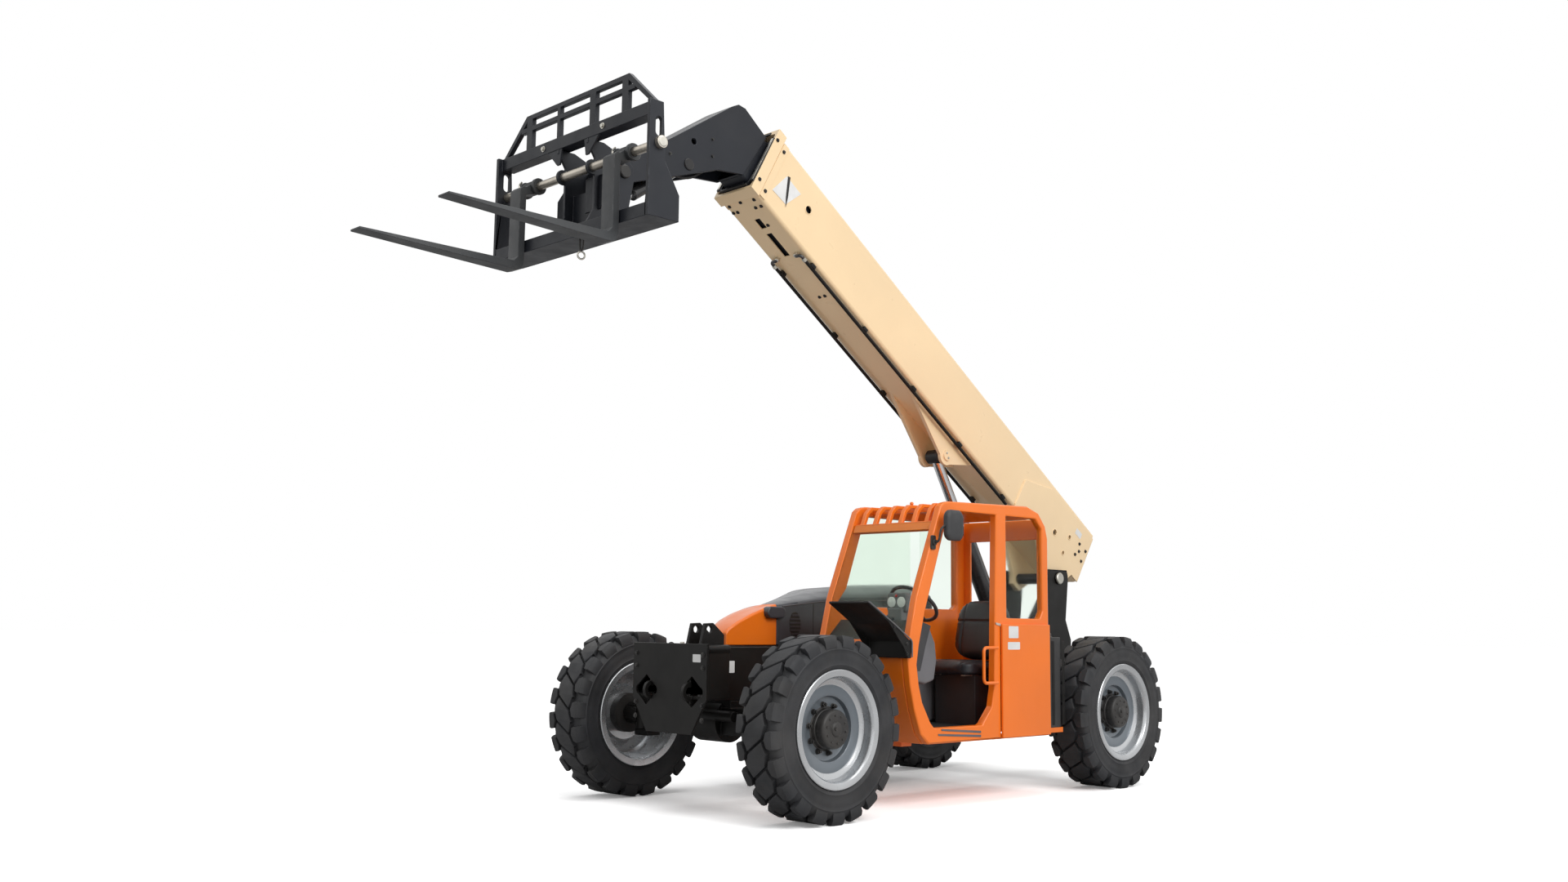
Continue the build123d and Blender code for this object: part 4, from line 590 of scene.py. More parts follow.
def tread_pitch():
    """One pitch of the tread: a slanted middle block and a block on each shoulder."""
    bm = bmesh.new()
    centre = Vector((0, PITCH / 4))
    blocks = [[
        [(*Vector(corner).lerp(centre, shrink), radius) for corner in MIDDLE_BLOCK]
        for radius, shrink in ((BODY_R - 0.008, 0.0), (TYRE_R - 0.003, 0.045), (TYRE_R - 0.0006, 0.075))
    ]]
    for hand, start in ((1, 0.0), (-1, PITCH / 2)):
        rings = []
        for radius, shrink, out, drop in (
            (BODY_R - 0.008, 0.0, 0.0170, 0.044), (BODY_R + 0.004, 0.02, 0.0180, 0.006),
            (TYRE_R - 0.010, 0.05, 0.0080, 0.004), (TYRE_R - 0.0006, 0.09, 0.0, 0.0),
        ):
            ring = []
            for across, along, foot in SHOULDER_BLOCK:
                along *= 1 - shrink
                across += (SHOULDER_MIDDLE - across) * shrink * (1 - foot)
                ring.append((hand * (across + out * foot), start + along, radius - drop * foot))
            rings.append(ring)
        blocks.append(rings)
    for rings in blocks:
        skin(bm, [[bm.verts.new(point) for point in ring] for ring in rings])
    for n in range(-5, 12):  # cuts that let the blocks bend round the tyre
        bmesh.ops.bisect_plane(bm, geom=bm.verts[:] + bm.edges[:] + bm.faces[:],
                               plane_co=(0, n * PITCH / 7, 0), plane_no=(0, 1, 0))
    for vert in bm.verts:
        across, along, radius = vert.co
        turn = along / TYRE_R
        vert.co = (radius * math.sin(turn), across, -radius * math.cos(turn))
    return bm


def turned_in_wheel(profile, steps=96, close=True):
    """Skin turned round a wheel's axle, whose profile is (radius, distance outboard)."""
    bm = bmesh.new()
    lathe(bm, profile, frame_at(Vector(), LEFT), steps, close)
    return bm


def make_tyre():
    """Tyre with its block tread, about its own centre."""
    bm = turned_in_wheel(TYRE_PROFILE + [(r, -y) for r, y in reversed(TYRE_PROFILE)], 168)
    bmesh.ops.recalc_face_normals(bm, faces=bm.faces)
    pitch = tread_pitch()
    bmesh.ops.recalc_face_normals(pitch, faces=pitch.faces)
    one = bpy.data.meshes.new("pitch")
    pitch.to_mesh(one)
    pitch.free()
    for _ in range(BLOCKS):
        bm.from_mesh(one)
        one.transform(Matrix.Rotation(2 * math.pi / BLOCKS, 4, "Y"))
    bpy.data.meshes.remove(one)
    return bm


NUT_PLANE = 0.045
RIM_PROFILE = (  # radius, distance outboard of the middle plane
    (0.395, 0.181), (0.400, 0.177), (0.400, 0.168), (0.370, 0.165), (0.357, 0.150), (0.350, 0.100),
    (0.320, 0.062), (0.320, -0.062), (0.350, -0.100), (0.357, -0.150), (0.370, -0.165), (0.400, -0.168),
    (0.400, -0.177), (0.395, -0.181), (0.352, -0.176), (0.340, -0.146), (0.337, -0.092), (0.308, -0.056),
    (0.308, 0.060), (0.222, 0.072), (0.206, 0.031), (0.136, 0.031), (0.136, NUT_PLANE), (0.200, NUT_PLANE),
    (0.212, 0.050), (0.222, 0.080), (0.232, 0.085), (0.296, 0.085), (0.306, 0.088), (0.318, 0.096),
    (0.334, 0.098), (0.339, 0.112), (0.341, 0.142), (0.346, 0.166), (0.356, 0.177), (0.380, 0.180),
)
PAINTED_FACE = slice(22, 28)  # of the rim's profile
HUB_PROFILE = (
    (0, 0.165), (0.040, 0.165), (0.048, 0.161), (0.052, 0.153), (0.113, 0.153), (0.124, 0.149),
    (0.131, 0.140), (0.133, 0.128), (0.133, 0.094), (0.128, 0.090), (0.128, 0.076), (0.134, 0.072),
    (0.140, 0.050), (0.152, NUT_PLANE + 0.001), (0.152, 0.020), (0.150, -0.035), (0.0, -0.035),
)
NUT_PARTS = (  # of washer, nut and stud: radius, sides, height, depth
    (0.020, 24, 0.0, 0.007), (0.0165, 6, 0.006, 0.020), (0.0095, 16, 0.020, 0.019),
)
NUT_CIRCLE = 0.165
HUB_BOLT_CIRCLE = 0.093
DISC_PROUD, DISC_THICK = 0.0009, 0.003


def make_rim():
    """Deep dished wheel disc and its rim."""
    return turned_in_wheel(RIM_PROFILE, 128)


def make_disc():
    """Painted face of the wheel's disc, a little proud of it."""
    face = [(r - 0.0004, y + DISC_PROUD) for r, y in RIM_PROFILE[PAINTED_FACE]]
    return turned_in_wheel(face + [(r, y - DISC_THICK) for r, y in reversed(face)], 128)


def make_hub():
    """Planetary hub with its cap, drain plug and the bolts of its cover."""
    bm = turned_in_wheel(HUB_PROFILE, 72, close=False)
    for x, z in ring_of(HUB_BOLT_CIRCLE, 10, 0.2):
        bolt(bm, frame_at((x, 0.152, z), LEFT), 0.0075)
    bolt(bm, frame_at((0.02, 0.164, 0.004), LEFT), 0.012)
    return bm


def make_nuts():
    """Ten wheel nuts on their studs."""
    bm = bmesh.new()
    for n, (x, z) in enumerate(ring_of(NUT_CIRCLE, 10, 0.15)):
        place = frame_at((x, NUT_PLANE - 0.001, z), LEFT, (math.cos(n), 0, math.sin(n)))
        for radius, sides, height, depth in NUT_PARTS:
            prism(bm, ring_of(radius, sides), raised(place, height), depth)
    return bm


WHEEL_PIECES = (  # name, maker, finish, node that it stands for, rounding
    ("tread_tyre", make_tyre, "tyre", "tyre", 0.0022),
    ("dished_rim", make_rim, "rim_silver", "rim", 0.0),
    ("disc_face", make_disc, "disc_grey", None, 0.0),
    ("hub", make_hub, "hub_black", None, 0.0012),
    ("nuts", make_nuts, "nut_black", None, 0.001),
)
for part, maker, finish, node, bevel in WHEEL_PIECES:
    for wheel, hand in WHEELS:
        form = maker()
        if hand < 0:
            bmesh.ops.scale(form, vec=(1, -1, 1), verts=form.verts)
        centre = (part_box(f"{wheel}_tyre")[0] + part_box(f"{wheel}_tyre")[1]) / 2
        bmesh.ops.translate(form, vec=centre, verts=form.verts)
        add_piece(f"{wheel}_{part}", form, f"{wheel}_wheel", finish, (f"{wheel}_{node}",) if node else (),
                  bevel, 2, 40)

# ---- nodes kept in their own form, with rounded edges
OPENED = ("cab_side_left",)  # its face has openings, so it can't be one polygon
DRESSED = (  # rounding, nodes
    (0.014, OPENED),
    (0.006, ("cab_lower_panel", "cab_rear_panel", "cab_front_panel", "front_axle", "rear_axle",
             "front_left_knuckle", "front_right_knuckle", "rear_left_knuckle", "rear_right_knuckle")),
    (0.004, ("boom_base", "boom_mid", "boom_fly", "boom_head", "carriage_coupler", "carriage_frame",
             "load_backrest", "fork_left", "fork_right", "front_box", "frame_rail_left", "frame_rail_right",
             "lift_mount", "side_brackets", "engine_bay", "tank",
             "cross_members", "dashboard", "seat_base", "engine_block", "mudguard")),
    (0.002, ("boom_pipes", "boom_pivot_pin", "lift_barrel", "lift_rod", "tilt_barrel", "tilt_rod",
             "fork_shaft", "cab_floor", "windscreen", "cab_side_glass")),
)
for rounding, nodes in DRESSED:
    for node in nodes:
        bm = form_of(node)
        if node not in OPENED:
            merge_facets(bm)
        dressed(node, bm, rounding)

# ---- hood, mudguard and tank
HOOD_LOW = 1.165
INNER_SIDE = -0.300  # Y of the hood's upright inner side
OUTER_SIDE = -1.130
VENT_X, VENT_Z = 0.655, 1.330
HOOD_SECTIONS = (  # along the machine, inner edge's height, crown's y and height, outer side's y and height
    (-1.080, 1.560, -0.66, 1.700, OUTER_SIDE, 1.620), (-0.500, 1.550, -0.66, 1.682, OUTER_SIDE, 1.605),
    (-0.050, 1.543, -0.64, 1.648, OUTER_SIDE, 1.560), (0.180, 1.535, -0.60, 1.610, -1.020, 1.480),
    (0.400, 1.520, -0.52, 1.572, -0.880, 1.440), (0.620, 1.500, -0.44, 1.534, -0.740, 1.420),
    (0.860, 1.472, -0.36, 1.490, -0.600, 1.400),
)
NOSE_START = 0.862  # where the nose comes out from under the hood
UNDER_HOOD = 0.012  # how far in it stands behind that
NOSE_SECTIONS = (  # along the machine, outer side's y, top at the inner side
    (0.300, -0.960, 1.440), (0.600, -0.905, 1.470), (0.861, -0.835, 1.490), (NOSE_START, -0.835, 1.490),
    (1.000, -0.790, 1.452), (1.140, -0.720, 1.404), (1.270, -0.625, 1.350), (1.372, -0.520, 1.295),
    (1.400, -0.470, 1.262),
)


def quarter(steps):
    """Sine and cosine at even steps over a quarter turn, without its start."""
    return [(math.sin(t), math.cos(t)) for t in (math.pi / 2 * n / steps for n in range(1, steps + 1))]


def hood_line(edge, crown_y, crown, outer_y, outer):
    """Section of the hood, (y, z) points from the inner side's foot over the crown to the outer side's."""
    return [
        (INNER_SIDE, HOOD_LOW), (INNER_SIDE, edge - 0.012), (INNER_SIDE - 0.004, edge),
        *((INNER_SIDE + (crown_y - INNER_SIDE) * (1 - c) ** 0.8, edge + (crown - edge) * s)
          for s, c in quarter(6)),
        *((crown_y + (outer_y - crown_y) * s, outer + (crown - outer) * c ** 0.6) for s, c in quarter(8)),
        (outer_y, HOOD_LOW),
    ]


def nose_line(x, outer_y, top):
    """Section of the nose, from the inner side's foot over its rounded top."""
    inner = INNER_SIDE - (UNDER_HOOD if x < NOSE_START else 0.0)
    wide, edge, low = inner - outer_y, 0.014, HOOD_LOW + 0.02
    return [
        (inner, HOOD_LOW), (inner, top - edge), (inner - edge, top),
        *((inner - edge - (wide - edge) * s, low + (top - low) * (0.52 + 0.48 * c ** 0.8))
          for s, c in quarter(10)),
        (outer_y, HOOD_LOW),
    ]


def cover(name, finish, node, bevel, sections):
    """Sheet-metal cover over sections, each (place along the machine, its (y, z) points)."""
    bm = bmesh.new()
    skin(bm, [[bm.verts.new(at(x, y, z)) for y, z in line] for x, line in sections])
    add_piece(name, bm, CHASSIS, finish, (node,), bevel, 3, smooth=38)


cover("hood_cover", "hood_black", "hood", 0.008, [(x, hood_line(*rest)) for x, *rest in HOOD_SECTIONS])
vent_turns = (math.pi * n / 20 for n in range(40))
vent_edge = [(VENT_X + 0.066 * math.cos(t), VENT_Z + 0.100 * math.sin(t)) for t in vent_turns]
# Flat dark oval behind the slats: the vent's black mesh, and painted shade for the dark opening behind the slats
plates("vent_mesh_and_painted_shade", CHASSIS, "nut_black", [(vent_edge, beside(-0.3012), 0.0026)], 0.0008)
plates("vent_slats", CHASSIS, "hood_black", [
    (rect(VENT_X - w, z - 0.006, VENT_X + w, z + 0.006), beside(-0.2998), 0.006) for w, z in (
        (0.036, 1.252), (0.052, 1.282), (0.060, 1.312), (0.061, 1.342), (0.055, 1.372), (0.040, 1.402))
], 0.0015)
plates("hood_intake", CHASSIS, "hood_black", [
    (round_rect(0.200, 0.092, 0.045, 0.905, 1.422, 8), beside(-0.322), 0.075)
], 0.012, 3)
cover("nose_cover", "orange", "hood_nose", 0.007, [(row[0], nose_line(*row)) for row in NOSE_SECTIONS])
# Painted highlight: a lighter grey bar along the bend of the hood's inner side, where light catches that edge
tube("painted_highlight_hood_edge", [
    at(x, -0.2990, z) for x, z in ((-1.07, 1.553), (-0.05, 1.536), (0.40, 1.513), (0.80, 1.472))
], 0.004, CHASSIS, "grey_plastic", bend=0.05)
plates("hood_seams", CHASSIS, "rubber", [
    (rect(-0.42, 1.175, -0.412, 1.535), beside(-0.2995), 0.0012),
    (rect(0.44, 1.175, 0.447, 1.500), beside(-0.2995), 0.0012),
    (rect(-0.42, 1.175, -0.412, 1.58), beside(-1.1305, -1), 0.0012),
    (rect(-1.06, 1.168, -0.08, 1.180), beside(-1.1305, -1), 0.0015),
], 0.0004)
bolts("hood_latches", [
    (at(x, y, 1.215), (0, out, 0)) for y, out, spots in (
        (-0.2990, 1, (-0.95, -0.50, 0.38, 0.52)), (-1.1310, -1, (-0.95, -0.15))) for x in spots
], CHASSIS, 0.011, "zinc")
tube("mudguard_bead", [
    at(x, 1.2035, z) for x, z in ((0.968, 1.105), (0.968, 1.222), (1.160, 1.338), (1.432, 1.492))
], 0.0055, CHASSIS, "grey_plastic", bend=0.02)
bolts("mudguard_bolts", [(at(x, 1.2005, z), LEFT) for x, z in ((1.022, 1.13), (1.022, 1.20), (1.16, 1.318))],
      CHASSIS, 0.009)
TANK_LOW, TANK_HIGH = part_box("tank")
turned("tank_caps", CHASSIS, "nut_black", [
    ([(0, 0.034), (0.040, 0.034), (0.047, 0.028), (0.048, 0.006), (0.056, 0.004), (0.056, -0.006),
      (0, -0.006)], frame_at(at(-0.98, 0.98, TANK_HIGH.z), TOP)),
    (cap(0.026, 0.026, 0.031, 0.020, -0.006), frame_at(at(-1.08, 0.62, TANK_HIGH.z), TOP)),
], 0.0015)
plates("tank_straps", CHASSIS, "chassis_black", [
    (rect(x, TANK_LOW.z + 0.02, x + 0.034, TANK_HIGH.z - 0.03), beside(TANK_HIGH.y + 0.0005), 0.003)
    for x in (-0.90, -1.04)
], 0.001)

# ---- cab: outside
CAB_FACE = 1.1705  # Y of the left side frame's outer face, with a hair's gap
PANEL_FACE = 1.1923  # of the lower panel's
tube("grab_rail", [
    at(-0.050, 1.192, 0.905), at(0.138, 1.206, 0.905), at(0.138, 1.206, 1.170), at(-0.050, 1.192, 1.170)
], 0.0125, CHASSIS, "orange", ("grab_handle",), bend=0.035)
plates("panel_fold", CHASSIS, "zinc", [
    ([(-0.118, 1.332), (-0.060, 1.345), (-0.052, 1.362), (-0.118, 1.352)], beside(CAB_FACE), 0.006),
], 0.0015)
plates("blank_stickers", CHASSIS, "blank_plate", [
    (round_rect(0.125, 0.092, 0.008, -0.258, 1.289), beside(PANEL_FACE), 0.0006),
    (round_rect(0.156, 0.058, 0.008, -0.261, 1.184), beside(PANEL_FACE), 0.0006),
    (round_rect(0.10, 0.06, 0.006, -0.111, 0.604), boom_side(CHEEK_FACE), 0.0006),
    (round_rect(0.075, 0.055, 0.005, 0.315, 1.075), facing(1.418), 0.0006),
], 0.0)
plates("sill_strips", CHASSIS, "grey_plastic", [
    ([(0.136, 0.535), (0.602, 0.570), (0.602, 0.584), (0.136, 0.552)], beside(CAB_FACE), 0.004),
    ([(0.136, 0.505), (0.640, 0.536), (0.640, 0.550), (0.136, 0.522)], beside(CAB_FACE), 0.004),
], 0.0015)
QUARTER_LINE = (
    (-0.205, 1.396), (-0.205, 2.192), (-0.600, 2.192), (-0.680, 2.110), (-0.680, 1.456), (-0.640, 1.396),
)
plates("quarter_pane", CHASSIS, "glass", [(QUARTER_LINE, beside(1.135), 0.005)], 0.0)
turned("roof_knobs", CHASSIS, "orange", [
    ([(0, 0.030), (0.010, 0.028), (0.015, 0.020), (0.015, 0.012), (0.009, 0.004), (0.009, -0.012),
      (0, -0.012)], frame_at(at(*spot), TOP))
    for spot in ((0.02, 0.373, 2.262), (-0.344, 0.979, 2.268), (0.44, 0.75, 2.25))
], 0.0, steps=20)
RIGHT_FRAME = (
    (0.747, 0.478), (0.829, 0.551), (0.902, 0.727), (0.947, 0.901), (0.974, 1.098), (0.962, 1.225),
    (0.880, 1.540), (0.600, 2.215), (0.560, 2.245), (0.500, 2.258), (-0.486, 2.286), (-0.640, 2.240),
    (-0.730, 2.140), (-0.760, 2.040), (-0.760, 0.478),
)
RIGHT_WINDOW = (
    (0.835, 1.470), (0.720, 1.600), (0.520, 2.130), (0.470, 2.180), (-0.590, 2.180), (-0.640, 2.110),
    (-0.640, 1.500), (-0.600, 1.470),
)


def framed(name, body, finish, outline, window, place, depth, replaces=(), bevel=0.012):
    """Plate with one window through it; outline and window have their own points."""
    bm = bmesh.new()
    for height in (0.0, depth):
        edges = []
        for line in (outline, window):
            loop = [bm.verts.new(place @ Vector((x, y, height))) for x, y in line]
            edges += [bm.edges.new(pair) for pair in zip(loop, loop[1:] + loop[:1])]
        bmesh.ops.triangle_fill(bm, edges=edges, use_beauty=True)
    bm.verts.ensure_lookup_table()
    count = len(outline) + len(window)
    for first, size in ((0, len(outline)), (len(outline), len(window))):
        for n in range(size):
            m = (n + 1) % size
            bm.faces.new([bm.verts[first + k] for k in (n, m, count + m, count + n)])
    bmesh.ops.recalc_face_normals(bm, faces=bm.faces)
    merge_facets(bm)
    add_piece(name, bm, body, finish, replaces, bevel)


framed("right_side_frame", CHASSIS, "orange", RIGHT_FRAME, RIGHT_WINDOW, beside(0.262), 0.064,
       ("cab_side_right",))
ROOF_RIGHT, ROOF_WIDTH, SLATS, SLAT_WIDTH = 0.327, 1.105 - 0.327, 6, 0.040
ROOF_HEADER = ((0.652, 2.042), (0.620, 2.110), (0.575, 2.098), (0.606, 2.030))
ROOF_PLATE = (
    (0.420, 2.196), (0.410, 2.252), (-0.486, 2.272), (-0.640, 2.226), (-0.700, 2.200), (-0.640, 2.200),
    (-0.480, 2.245), (0.380, 2.228), (0.395, 2.196),
)
ROOF_SLAT = (
    (0.624, 2.095), (0.575, 2.205), (0.520, 2.250), (0.400, 2.251), (0.400, 2.226), (0.505, 2.222),
    (0.548, 2.190), (0.592, 2.090),
)
bm = bmesh.new()
prism(bm, ROOF_HEADER, beside(ROOF_RIGHT), ROOF_WIDTH)
prism(bm, ROOF_PLATE, beside(ROOF_RIGHT), ROOF_WIDTH)
for n in range(SLATS):
    slat_y = ROOF_RIGHT + ROOF_WIDTH * (n + 0.5) / SLATS
    prism(bm, ROOF_SLAT, beside(slat_y - SLAT_WIDTH / 2), SLAT_WIDTH)
add_piece("roof_frame", bm, CHASSIS, "orange", ("cab_roof",), 0.005)

# mirror: thin bent stalk, padded shell and silvered face
MIRROR = (0.556, 2.070)
tube("mirror_stalk", [
    at(0.700, 1.174, 1.935), at(0.700, 1.232, 1.945), at(0.690, 1.245, 2.040), at(0.612, 1.250, 2.086),
    at(0.560, 1.250, 2.076),
], 0.0085, CHASSIS, "nut_black", bend=0.022)
plates("mirror_clamp", CHASSIS, "nut_black", [
    (round_rect(0.050, 0.105, 0.012, 0.700, 1.940), beside(CAB_FACE), 0.014),
    (round_rect(0.036, 0.040, 0.010, 0.700, 1.940), beside(1.183), 0.018),
], 0.003)
bm = bmesh.new()
skin(bm, [
    [bm.verts.new(beside(1.226) @ Vector((x, z, depth)))
     for x, z in round_rect(0.193 * size, 0.228 * size, 0.055 * size, *MIRROR, 9)]
    for depth, size in (
        (0.000, 0.80), (0.006, 0.93), (0.018, 1.0), (0.040, 1.0), (0.052, 0.90), (0.058, 0.70))
])
add_piece("mirror_shell", bm, CHASSIS, "interior_black", ("mirror",), smooth=50)
plates("mirror_face", CHASSIS, "rod_chrome", [
    (round_rect(0.162, 0.196, 0.045, *MIRROR, 8), beside(1.2262, -1), 0.0015)
], 0.0005)

# ---- cab: inside
STEERING_HUB = at(0.385, 0.72, 1.488)
RAKE = math.radians(49)
wheel_place = frame_at(STEERING_HUB, Vector((-math.cos(RAKE), 0, math.sin(RAKE))))
bm = bmesh.new()
donut(bm, raised(wheel_place, 0.012), 0.190, 0.0145)
for turn in (90, 210, 330):
    prism(bm, [(0.020, -0.020), (0.186, -0.011), (0.186, 0.011), (0.020, 0.020)],
          wheel_place @ Matrix.Rotation(math.radians(turn), 4, "Z"), 0.010)
lathe(bm, [(0, 0.030), (0.026, 0.029), (0.036, 0.022), (0.040, 0.008), (0.040, -0.004), (0, -0.004)],
      wheel_place, 40, close=False)
add_piece("wheel_rim_and_spokes", bm, CHASSIS, "interior_black", ("steering_wheel",), 0.002)
turned("wheel_knob", CHASSIS, "interior_black", [
    ([(0, 0.052), (0.014, 0.050), (0.020, 0.040), (0.018, 0.030), (0.008, 0.022), (0.008, 0.002),
      (0, 0.002)], wheel_place @ Matrix.Translation((-0.12, 0.122, 0.016)))
], 0.0, steps=24)
POD_Y = 0.77
plates("instrument_pod", CHASSIS, "grey_plastic", [
    (round_rect(0.20, 0.15, 0.035, POD_Y, 1.500), facing(0.640, -1), 0.060),
    (rect(0.700, 1.34, 0.840, 1.46), facing(0.665, -1), 0.070),
], 0.012, segments=3)
turned("dials", CHASSIS, "dial", [
    (cap(0.004, 0.036, 0.036 + 0.004, 0.002), frame_at(at(x, POD_Y + y, 1.505), (out, 0, 0)))
    for x, out in ((0.5795, -1), (0.6405, 1)) for y in (-0.048, 0.048)
], 0.0)
turned("dial_lamp", CHASSIS, "lamp_red", [
    ([(0, 0.010), (0.007, 0.008), (0.010, 0.003), (0.010, 0.0), (0, 0.0)],
     frame_at(at(0.642, POD_Y, 1.552), FORWARD))
], 0.0, steps=20)
POD = (
    (0.855, 1.300), (0.760, 1.352), (0.655, 1.330), (0.585, 1.205), (0.568, 1.077), (0.597, 0.932),
    (0.700, 0.905), (0.835, 0.930),
)
plates("side_pods", CHASSIS, "grey_plastic", [(POD, beside(1.020), 0.085), (POD, beside(0.328), 0.060)],
       0.020, segments=4)
PEDALS_Y = (0.56, 0.86)
PEDAL_STEM = rect(-0.012, -0.012, 0.012, 0.012)
plates("pedals", CHASSIS, "nut_black", [
    (round_rect(0.075, 0.11, 0.012, x=y), frame_at(at(0.72, 0, 0.68), (-0.8, 0, 0.6)), 0.012)
    for y in PEDALS_Y
] + [
    (PEDAL_STEM, frame_at(at(0.735, y, 0.565), (-0.05, 0, 1)), 0.12) for y in PEDALS_Y
], 0.003)
plates("floor_mat", CHASSIS, "rubber", [
    (rect(-0.70, 0.36, 0.73, 1.07), flat(0.5605), 0.006)
] + [
    (rect(-0.68, y, 0.71, y + 0.006), flat(0.566), 0.0025) for y in (0.38 + 0.024 * n for n in range(28))
], 0.0008)
LEVER_Y = 0.405
tube("lever", [at(-0.02, LEVER_Y, 1.06), at(0.02, LEVER_Y, 1.16), at(0.035, LEVER_Y, 1.235)], 0.009, CHASSIS,
     "nut_black", bend=0.03)
turned("lever_knobs", CHASSIS, "nut_black", [
    ([(0, 0.10), (0.016, 0.096), (0.026, 0.080), (0.024, 0.050), (0.016, 0.015), (0.014, 0), (0, 0)],
     frame_at(at(0.035, LEVER_Y, 1.225), (0.15, 0, 1)))
], 0.0, steps=32)
plates("side_console", CHASSIS, "grey_plastic", [
    ([(-0.62, 0.575), (0.10, 0.575), (0.10, 0.98), (0.02, 1.06), (-0.50, 1.06), (-0.62, 0.98)],
     beside(0.34), 0.12),
], 0.016, segments=3)
plates("seat_rails", CHASSIS, "zinc", [
    (rect(-0.53, 0.945, -0.02, 0.953), beside(y), 0.034) for y in (0.55, 0.86)
])

# seat: a base cushion and a back, stuffed as cloth and then seamed
STUFFING = 4.0  # pressure
SETTLING = 12  # frames of the cloth
SEAM_HALF, SEAM_DEPTH = 0.012, 0.010


def cushion(name, width, height, corner, thick, place, seams):
    """Stuffed cushion: a rounded pad in place, thick along its z, with seams pressed into its top."""
    bm = bmesh.new()
    prism(bm, round_rect(width - 0.03, height - 0.03, corner, steps=6), place, thick - 0.03)
    piece = new_object(name, mesh_from(bm, name))
    remesh = piece.modifiers.new("skin", "REMESH")
    remesh.mode = "VOXEL"
    remesh.voxel_size = 0.006
    soft = piece.modifiers.new("stuffing", "CLOTH")
    soft.settings.use_pressure = True
    soft.settings.uniform_pressure_force = STUFFING
    soft.settings.quality = 5
    soft.settings.effector_weights.gravity = 0.0
    soft.collision_settings.use_collision = False
    for step in range(1, SETTLING + 1):
        bpy.context.scene.frame_set(step)
    baked = bpy.data.meshes.new_from_object(piece.evaluated_get(bpy.context.evaluated_depsgraph_get()))
    bpy.data.objects.remove(piece)
    bpy.context.scene.frame_set(1)
    back = place.inverted()
    bm = bmesh.new()
    bm.from_mesh(baked)
    for vert in bm.verts:
        spot = back @ vert.co
        spot.x = min(max(spot.x, -width / 2), width / 2)
        spot.y = min(max(spot.y, -height / 2), height / 2)
        spot.z = min(max(spot.z, -0.012), thick)
        for turned_seam, seam in seams:
            gap = abs((spot.y if turned_seam else spot.x) - seam) / SEAM_HALF
            if gap < 1 and spot.z > thick / 2:
                spot.z -= SEAM_DEPTH * (1 - gap * gap)
        vert.co = place @ spot
    bm.to_mesh(baked)
    bm.free()
    made = add_piece(name, baked, CHASSIS, "seat_black", smooth=60)
    relaxed = made.modifiers.new("relaxed", "SMOOTH")
    relaxed.factor = 0.5
    relaxed.iterations = 4
    return made


SEAT_Y = 0.72
seat_cushion = cushion("seat_cushion", 0.46, 0.48, 0.09, 0.105,
                       Matrix.Translation(at(-0.225, SEAT_Y, 0.965)),
                       ((False, -0.12), (True, 0.14), (True, -0.14)))
cushion("seat_back", 0.50, 0.50, 0.15, 0.125, frame_at(at(-0.520, SEAT_Y, 1.290), (0.975, 0, 0.22)),
        ((False, 0.15), (False, -0.15), (True, 0.06)))
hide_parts("seat_cushions")

# ---- boom
HOLES = (  # along the boom, up, radius, face that it opens in
    (4.267, 0.510, 0.034, BOX_FACE), (0.207, 0.378, 0.030, CHEEK_FACE), (-0.010, 0.484, 0.022, CHEEK_FACE),
    (-0.002, 0.297, 0.020, CHEEK_FACE),
)
SIDE_TRIM = (  # name, finish, outline along the boom and up, half width where it starts, depth, rounding
    ("boom_plate", "blank_plate", ((4.641, 0.347), (4.592, 0.552), (4.400, 0.549), (4.472, 0.357)),
     0.2003, 0.003, 0.001),
    ("angle_needle", "nut_black",
     ((4.584, 0.560), (4.560, 0.572), (4.487, 0.418), (4.460, 0.336), (4.505, 0.404)),
     0.2036, 0.0025, 0.0006),
    ("collar_band", "boom_cream", ((4.655, 0.215), (4.716, 0.215), (4.762, 0.750), (4.697, 0.750)),
     0.1995, 0.0075, 0.0025),
    ("pad_frame", "nut_black", ((4.817, 0.250), (4.834, 0.250), (4.868, 0.700), (4.851, 0.700)),
     0.1725, 0.036, 0.002),
    ("pad_line", "zinc", ((4.834, 0.262), (4.838, 0.262), (4.871, 0.690), (4.867, 0.690)),
     0.180, 0.022, 0.0006),
)
SIDE_BOLTS = (  # along the boom, up, half width
    (4.728, 0.682, 0.2072), (4.690, 0.276, 0.2072), (-0.206, 0.464, 0.2142), (-0.294, 0.529, 0.2142),
    (-0.284, 0.406, 0.2142), (-0.169, 0.402, 0.2142), (-0.176, 0.529, 0.2142), (4.79, 0.30, 0.2162),
    (4.835, 0.70, 0.2162),
)
PIPE_UP, PIPE_Y, PIPE_TURN_Y = 0.174, 0.168, 0.105
